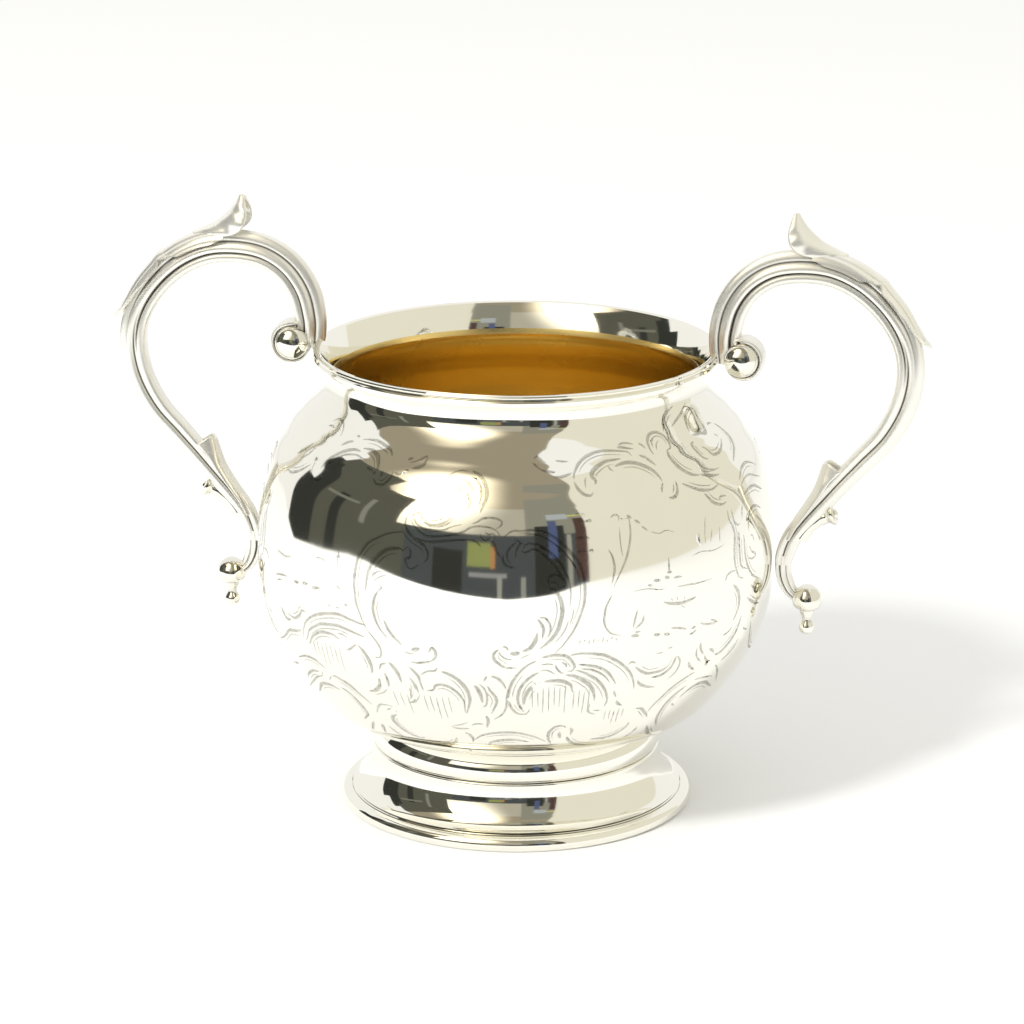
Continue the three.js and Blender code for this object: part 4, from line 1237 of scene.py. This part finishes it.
def lofted(name, rings, smooth_angle=38):
    """Joins rings of points (x, y, z in millimetres) into one skin, closed at both ends."""
    deselect_all()
    count = len(rings[0])
    corners = [(x * MM, y * MM, z * MM) for ring in rings for x, y, z in ring]
    faces = []
    for ring in range(len(rings) - 1):
        for corner in range(count):
            start, end = ring * count + corner, ring * count + (corner + 1) % count
            faces.append((start, end, end + count, start + count))
    faces.append(tuple(range(count))[::-1])
    faces.append(tuple(range((len(rings) - 1) * count, len(rings) * count)))
    mesh = bpy.data.meshes.new(name)
    mesh.from_pydata(corners, [], faces)
    piece = bpy.data.objects.new(name, mesh)
    bpy.context.scene.collection.objects.link(piece)
    bpy.context.view_layer.objects.active = piece
    piece.select_set(True)
    bpy.ops.object.mode_set(mode="EDIT")
    bpy.ops.mesh.select_all(action="SELECT")
    bpy.ops.mesh.normals_make_consistent(inside=False)
    bpy.ops.object.mode_set(mode="OBJECT")
    bpy.ops.object.shade_smooth_by_angle(angle=math.radians(smooth_angle))
    return piece


HOLLOW_GAIN = 2.2
OWN_SHARE = 0.6


def find_hollows(piece, strength=1.0):
    """Stores where the surface is hollow, for the grey oxide that polishing leaves behind and for painted
    shade in the creases and sockets.
    """
    mesh = piece.data
    shape = bmesh.new()
    shape.from_mesh(mesh)
    values = []
    for vertex in shape.verts:
        pull = 0.0
        for edge in vertex.link_edges:
            away = edge.other_vert(vertex).co - vertex.co
            if away.length > 0:
                pull += away.normalized().dot(vertex.normal)
        values.append(pull / max(len(vertex.link_edges), 1))
    blurred = []
    for vertex in shape.verts:
        near = [values[edge.other_vert(vertex).index] for edge in vertex.link_edges]
        around = sum(near) / max(len(near), 1)
        blurred.append(OWN_SHARE * values[vertex.index] + (1 - OWN_SHARE) * around)
    shape.free()
    layer = mesh.attributes.new("hollow", "FLOAT", "POINT")
    for index, value in enumerate(blurred):
        layer.data[index].value = min(max(value * HOLLOW_GAIN * strength, 0), 1)


# %% [markdown]
# ## The fluted scroll
#
# Seen from the side, three round strands run together at the rim. The outer one sinks into
# the leaf on the way round, and two strands go on down to the belly. A bevelled curve would
# keep one section all the way, so the scroll is a loft: a ring of points for each frame.

# %% Scroll
SCROLL_LINE = [
    (47.3, 104.6), (47.3, 107.0), (47.3, 111.5), (48.8, 117.6), (52.4, 122.9), (57.8, 126.3), (64.5, 127.4),
    (71.5, 126.6), (78.3, 123.2), (84.2, 117.4), (87.9, 110.6), (88.9, 103.6), (87.5, 96.2), (83.8, 89.1),
    (78.6, 83.3), (74.3, 78.5), (70.3, 73.8), (66.1, 68.8), (63.0, 64.4), (61.5, 60.0), (61.4, 58.4),
]
SCROLL_WIDTH = [
    (0, 4.6), (0.05, 6.2), (0.12, 6.8), (0.3, 6.6), (0.5, 5.9), (0.72, 5.2), (0.88, 4.2), (1, 3.9),
]
SCROLL_DEPTH = [
    (0, 5.6), (0.06, 7.0), (0.14, 7.6), (0.3, 7.6), (0.55, 6.3), (0.8, 5.0), (0.92, 4.4), (1, 3.6),
]
THREE_STRANDS = [(-0.64, 0.36, 0.16), (-0.02, 0.33, 0.58), (0.60, 0.40, 0.30)]
TWO_STRANDS = [(-0.52, 0.48, 0.34), (0.40, 0.60, 0.40)]
STRAND_POINTS = 30
INNER_FULLNESS, KEEL = 1.12, 0.52
THINNEST_HALF = 0.04
STRANDS_MERGE = [(0, 0), (0.42, 0), (0.6, 1), (1, 1)]


def strand_half_width(strands, out):
    """Half the width of the section at one level, from a stack of round strands."""
    widest = 0.0
    for center, radius, flat in strands:
        inside = 1 - ((out - center) / radius) ** 2
        if inside > 0:
            widest = max(widest, flat * min(1, inside * 4) + radius * math.sqrt(inside))
    return widest


def strand_section(depth, width, blend):
    """One closed section as (out, sideways), from three strands to two as blend goes to 1."""
    levels = [-math.cos(math.pi * (index + 0.5) / STRAND_POINTS) for index in range(STRAND_POINTS)]
    side = []
    for level in levels:
        three, two = strand_half_width(THREE_STRANDS, level), strand_half_width(TWO_STRANDS, level)
        half = (1 - blend) * three + blend * two
        keel = INNER_FULLNESS - KEEL * (level + 1) / 2
        side.append((level * depth / 2, max(half, THINNEST_HALF) * keel * width / 2))
    return side + [(out, -sideways) for out, sideways in reversed(side)]


def sweep_scroll():
    line = smooth_line(SCROLL_LINE, 9)
    frames = frames_along(line)
    last = len(frames) - 1
    rings = []
    for index, (point, out, _) in enumerate(frames):
        share = index / last
        depth, width = value_at(SCROLL_DEPTH, share), value_at(SCROLL_WIDTH, share)
        ring = []
        for level, sideways in strand_section(depth, width, value_at(STRANDS_MERGE, share)):
            ring.append((point.x + out.x * level, sideways, point.y + out.y * level))
        rings.append(ring)
    return lofted("fluted_scroll", rings, smooth_angle=50)


scroll = sweep_scroll()
find_hollows(scroll, 2.2)

# %% [markdown]
# ## The sheath leaf
#
# A thin leaf is wrapped round the outer side of the scroll. Its two lobes reach down the
# sides, its veins are cut in, and its tip curls away from the scroll.

# %% Sheath leaf
LEAF_START, LEAF_END = 0.315, 0.512
LEAF_REACH = [(0, 0.55), (0.12, 0.70), (0.35, 0.70), (0.46, 0.50), (0.50, 0.38), (0.54, 0.56), (0.66, 0.58),
              (0.84, 0.42), (0.95, 0.26), (1, 0.10)]
LEAF_LIFT = [
    (0, 0.10), (0.12, 0.12), (0.42, 0.12), (0.50, 0.45), (0.58, 0.12), (0.82, 0.15), (0.92, 0.5), (1, 1.5),
]
LEAF_THICKNESS = 0.42
LEAF_STEPS = 64
LEAF_SIDE = 14
LEAF_WRAP = 0.60
LEAF_ROOT_DEPTH = 0.35
VEIN_DEPTH, VEIN_COUNT, MIDDLE_RIB = 0.22, 5.2, 0.15


def sweep_leaf():
    line = smooth_line(SCROLL_LINE, 40)
    frames = frames_along(line)
    last = len(frames) - 1
    rings = []
    for step in range(LEAF_STEPS + 1):
        leaf_share = step / LEAF_STEPS
        share = LEAF_START + (LEAF_END - LEAF_START) * leaf_share
        point, out, _ = frames[round(share * last)]
        depth, width = value_at(SCROLL_DEPTH, share) / 2, value_at(SCROLL_WIDTH, share) / 2
        reach = value_at(LEAF_REACH, leaf_share) * math.pi * LEAF_WRAP
        lift = value_at(LEAF_LIFT, leaf_share)
        outer, inner = [], []
        for corner in range(2 * LEAF_SIDE + 1):
            turn = reach * (corner / LEAF_SIDE - 1)
            vein = 0
            if abs(turn) > MIDDLE_RIB:
                vein = VEIN_DEPTH * math.cos(VEIN_COUNT * turn) ** 8 * min(1, 4 * (1 - leaf_share))
            for rise, side in ((LEAF_THICKNESS + lift - vein, outer), (lift - LEAF_ROOT_DEPTH, inner)):
                side.append((point.x + out.x * (depth + rise) * math.cos(turn),
                             (width + rise) * math.sin(turn) * 1.02,
                             point.y + out.y * (depth + rise) * math.cos(turn)))
        rings.append(outer + inner[::-1])
    return lofted("sheath_leaf", rings, smooth_angle=60)


sheath_leaf = sweep_leaf()
find_hollows(sheath_leaf, 1.2)

# %% [markdown]
# ## Thumb leaf and calyx
#
# These leaves are hollow spoons. The back of a spoon follows one line, its two edges follow
# another, and the sheet between is bowed like a gutter. Solidify gives it its thickness.

# %% Hollow leaves
SPOON_STEPS, SPOON_ACROSS = 24, 16
RIB_HEIGHT, RIB_WIDTH = 0.25, 0.12


def leaf_rows(middle, edge, half_widths, tip_notch):
    """Rows of points across a gutter between a middle line and an edge line."""
    middle_line = smooth_line(middle, 12)
    edge_line = smooth_line(edge, 12)
    rows = []
    for step in range(SPOON_STEPS + 1):
        share = step / SPOON_STEPS
        center = Vector(middle_line[round(share * (len(middle_line) - 1))])
        side = Vector(edge_line[round(share * (len(edge_line) - 1))])
        half = value_at(half_widths, share)
        row = []
        for column in range(SPOON_ACROSS + 1):
            v = 2 * column / SPOON_ACROSS - 1
            bow = abs(v) ** 1.8
            rib = RIB_HEIGHT * math.exp(-(v / RIB_WIDTH) ** 2) * math.sin(math.pi * share)
            place = center.lerp(side, bow) - (side - center).normalized() * rib
            notch = tip_notch * share ** 6 * math.cos(2 * math.pi * v)
            row.append((place.x, half * math.sin(v * math.pi / 2), place.y - notch))
        rows.append(row)
    return rows


def hollow_leaf(name, rows, thickness):
    """A gutter-shaped leaf: one sheet of faces, thickened and softened."""
    deselect_all()
    count = SPOON_ACROSS + 1
    corners = [(x * MM, y * MM, z * MM) for row in rows for x, y, z in row]
    faces = [(row * count + column, row * count + column + 1, (row + 1) * count + column + 1,
              (row + 1) * count + column) for row in range(SPOON_STEPS) for column in range(SPOON_ACROSS)]
    mesh = bpy.data.meshes.new(name)
    mesh.from_pydata(corners, [], faces)
    piece = bpy.data.objects.new(name, mesh)
    bpy.context.scene.collection.objects.link(piece)
    bpy.context.view_layer.objects.active = piece
    piece.select_set(True)
    sheet = piece.modifiers.new("sheet", "SOLIDIFY")
    sheet.thickness = thickness * MM
    sheet.offset = 0
    bpy.ops.object.modifier_apply(modifier=sheet.name)
    soft = piece.modifiers.new("soft_edges", "SUBSURF")
    soft.levels = 2
    bpy.ops.object.modifier_apply(modifier=soft.name)
    bpy.ops.object.mode_set(mode="EDIT")
    bpy.ops.mesh.select_all(action="SELECT")
    bpy.ops.mesh.normals_make_consistent(inside=False)
    bpy.ops.object.mode_set(mode="OBJECT")
    bpy.ops.object.shade_smooth_by_angle(angle=math.radians(60))
    return piece


THUMB_MIDDLE = [(74.5, 130.0), (71.5, 131.2), (68.4, 132.8), (65.9, 134.9), (64.2, 137.0), (62.9, 139.3)]
THUMB_EDGE = [(70.5, 129.2), (67.0, 129.9), (63.8, 130.7), (61.7, 132.6), (61.2, 135.2), (62.2, 138.8)]
THUMB_HALF = [(0, 1.6), (0.35, 3.0), (0.6, 3.7), (0.8, 2.7), (1, 0.3)]
THUMB_THICKNESS = 0.9
thumb_leaf = hollow_leaf("thumb_leaf", leaf_rows(THUMB_MIDDLE, THUMB_EDGE, THUMB_HALF, 0.0), THUMB_THICKNESS)
find_hollows(thumb_leaf)

CALYX_MIDDLE = [(61.9, 64.5), (63.4, 68.3), (65.9, 72.2), (68.0, 75.8), (69.0, 78.8), (70.0, 82.6)]
CALYX_EDGE = [(62.6, 64.3), (64.6, 68.0), (67.3, 71.9), (69.8, 75.6), (71.6, 78.6), (74.2, 81.5)]
CALYX_HALF = [(0, 2.0), (0.4, 2.7), (0.75, 2.8), (1, 2.5)]
CALYX_THICKNESS, CALYX_NOTCH = 0.7, 0.5
calyx_rows = leaf_rows(CALYX_MIDDLE, CALYX_EDGE, CALYX_HALF, CALYX_NOTCH)
calyx_leaf = hollow_leaf("calyx_leaf", calyx_rows, CALYX_THICKNESS)
find_hollows(calyx_leaf)
print("leaves:", [len(leaf.data.polygons) for leaf in (sheath_leaf, thumb_leaf, calyx_leaf)], "faces")

# %% [markdown]
# ## Volute and button
#
# At the rim the inner strand rolls on round a polished button. The roll is a strip that
# winds round the button's axis, which lies across the handle.

# %% Volute
BUTTON_AT = (51.3, 105.9)
CURL_RADIUS = [(0, 5.0), (0.25, 5.15), (0.6, 5.0), (0.85, 4.6), (1, 4.2)]
CURL_THICKNESS = [(0, 0.7), (0.1, 1.3), (0.6, 1.2), (1, 0.5)]
CURL_HALF_WIDTH = [(0, 2.5), (0.15, 3.1), (0.6, 3.3), (1, 2.4)]
CURL_START, CURL_SWEEP = 110, 262
CURL_STEPS, CURL_CORNERS = 56, 20


def sweep_volute():
    rings = []
    for step in range(CURL_STEPS + 1):
        share = step / CURL_STEPS
        angle = math.radians(CURL_START - CURL_SWEEP * share)
        radius = value_at(CURL_RADIUS, share)
        thick = value_at(CURL_THICKNESS, share)
        half = value_at(CURL_HALF_WIDTH, share)
        outward = Vector((math.cos(angle), math.sin(angle)))
        ring = []
        for corner in range(CURL_CORNERS):
            turn = 2 * math.pi * corner / CURL_CORNERS
            out = radius - thick / 2 + thick / 2 * math.copysign(abs(math.cos(turn)) ** 0.7, math.cos(turn))
            sideways = half * math.copysign(abs(math.sin(turn)) ** 0.55, math.sin(turn))
            ring.append((BUTTON_AT[0] + outward.x * out, sideways, BUTTON_AT[1] + outward.y * out))
        rings.append(ring)
    return lofted("volute_curl", rings)


volute = sweep_volute()
find_hollows(volute)

# %% Button
BUTTON_SIDE = [
    (3.45, 0), (3.5, 1.6), (3.85, 2.3), (3.9, 2.9), (3.65, 3.6), (3.1, 4.3), (2.2, 4.85), (1.2, 5.15),
    (0.3, 5.25),
]
BUTTON_STEPS = 48
button_outline = [(radius, -sideways) for radius, sideways in BUTTON_SIDE[:0:-1]] + BUTTON_SIDE
button_rings = []
for radius, sideways in button_outline:
    ring = []
    for step in range(BUTTON_STEPS):
        turn = 2 * math.pi * step / BUTTON_STEPS
        x, z = BUTTON_AT[0] + radius * math.cos(turn), BUTTON_AT[1] + radius * math.sin(turn)
        ring.append((x, sideways, z))
    button_rings.append(ring)
button = lofted("volute_button", button_rings)
find_hollows(button)
print("volute and button:", len(volute.data.polygons), "and", len(button.data.polygons), "faces")

# %% [markdown]
# ## Bud, tail and drop
#
# The bud is a small horn with a hollow mouth. The tail is the fluted stock again, curling
# out below the belly to a turned ball, from which a drop hangs on a short neck.

# %% Bud
BUD_LINE = [(65.2, 64.6), (67.0, 67.2), (69.0, 68.9), (71.0, 70.0), (72.6, 70.7)]
BUD_RADII = [(0, 1.5), (0.5, 1.4), (0.72, 1.6), (0.88, 2.5), (0.95, 2.6), (1, 2.1)]
BUD_MOUTH = [(0.15, 1.7), (-0.5, 1.45), (-0.8, 1.3), (-0.5, 1.22), (0.1, 1.15), (0.6, 0.8), (0.8, 0.2)]
BUD_CORNERS = 24
bud_frames = frames_along(smooth_line(BUD_LINE, 12))
bud_rings = []
for index, (point, out, _) in enumerate(bud_frames):
    radius = value_at(BUD_RADII, index / (len(bud_frames) - 1))
    bud_rings.append(round_ring(point, out, radius, BUD_CORNERS))
mouth, mouth_out, mouth_along = bud_frames[-1]
for depth, radius in BUD_MOUTH:
    bud_rings.append(round_ring(mouth + mouth_along * depth, mouth_out, radius, BUD_CORNERS))
bud = lofted("bud", bud_rings)
find_hollows(bud, 1.6)
print("bud:", len(bud_rings), "rings")

# %% Tail
TAIL_LINE = [(61.5, 60.6), (61.3, 58.6), (61.4, 56.4), (62.0, 54.2), (63.1, 52.2), (64.9, 50.6)]
TAIL_DEPTH = [(0, 3.9), (0.5, 3.7), (1, 2.8)]
TAIL_WIDTH = [(0, 3.9), (0.5, 3.8), (1, 3.0)]


def sweep_tail():
    frames = frames_along(smooth_line(TAIL_LINE, 8))
    last = len(frames) - 1
    rings = []
    for index, (point, out, _) in enumerate(frames):
        share = index / last
        section = strand_section(value_at(TAIL_DEPTH, share), value_at(TAIL_WIDTH, share), 0.0)
        rings.append([(point.x + out.x * level, sideways, point.y + out.y * level)
                      for level, sideways in section])
    return lofted("tail_scroll", rings, smooth_angle=50)


tail = sweep_tail()
find_hollows(tail, 1.3)

# %% Drop
DROP_AT = (66.8, 50.3)
DROP_OUTLINE = [
    (0.1, 3.35), (1.3, 3.15), (2.3, 2.5), (3.0, 1.5), (3.35, 0.3), (3.35, -0.5), (3.15, -1.3), (2.75, -1.9),
    (2.2, -2.2), (1.75, -2.35), (1.7, -2.6), (1.55, -3.2), (1.2, -3.9), (1.0, -4.5), (1.05, -5.0),
    (1.45, -5.5),
    (1.75, -6.1), (1.8, -6.8), (1.55, -7.5), (1.0, -8.0), (0.45, -8.25), (0.1, -8.35),
]
DROP_CORNERS = 40
LEVEL = (1, 0)
drop_rings = [round_ring((DROP_AT[0], DROP_AT[1] + height), LEVEL, radius, DROP_CORNERS)
              for radius, height in DROP_OUTLINE]
drop = lofted("tail_drop", drop_rings)
find_hollows(drop, 1.3)
print("tail and drop:", len(tail.data.polygons), "and", len(drop.data.polygons), "faces")

# %% [markdown]
# ## Two handles
#
# The left handle is the right one turned half round the bowl. Each copy gets its own mesh,
# and every piece takes the place of its node in the solid model.

# %% Place both handles
HANDLE_PIECES = {
    "scroll": scroll, "sheath_leaf": sheath_leaf, "thumb_leaf": thumb_leaf, "volute_curl": volute,
    "volute_button": button, "calyx_leaf": calyx_leaf, "bud": bud, "tail_scroll": tail, "tail_finial": drop,
}
POLISHED_PIECES = ("volute_button", "tail_finial", "bud")
for node_name, piece in HANDLE_PIECES.items():
    turned = piece.copy()
    turned.data = piece.data.copy()
    turned.name = "left_" + piece.name
    turned.data.name = turned.name
    bpy.context.scene.collection.objects.link(turned)
    for vertex in turned.data.vertices:
        vertex.co.x, vertex.co.y = -vertex.co.x, -vertex.co.y
    piece.name = "right_" + piece.name
    piece.data.name = piece.name
    finish = ball_silver if node_name in POLISHED_PIECES else cast_silver
    dress(piece, finish, "silver_castings", "right_" + node_name)
    dress(turned, finish, "silver_castings", "left_" + node_name)
print("handles:", 2 * len(HANDLE_PIECES), "pieces")
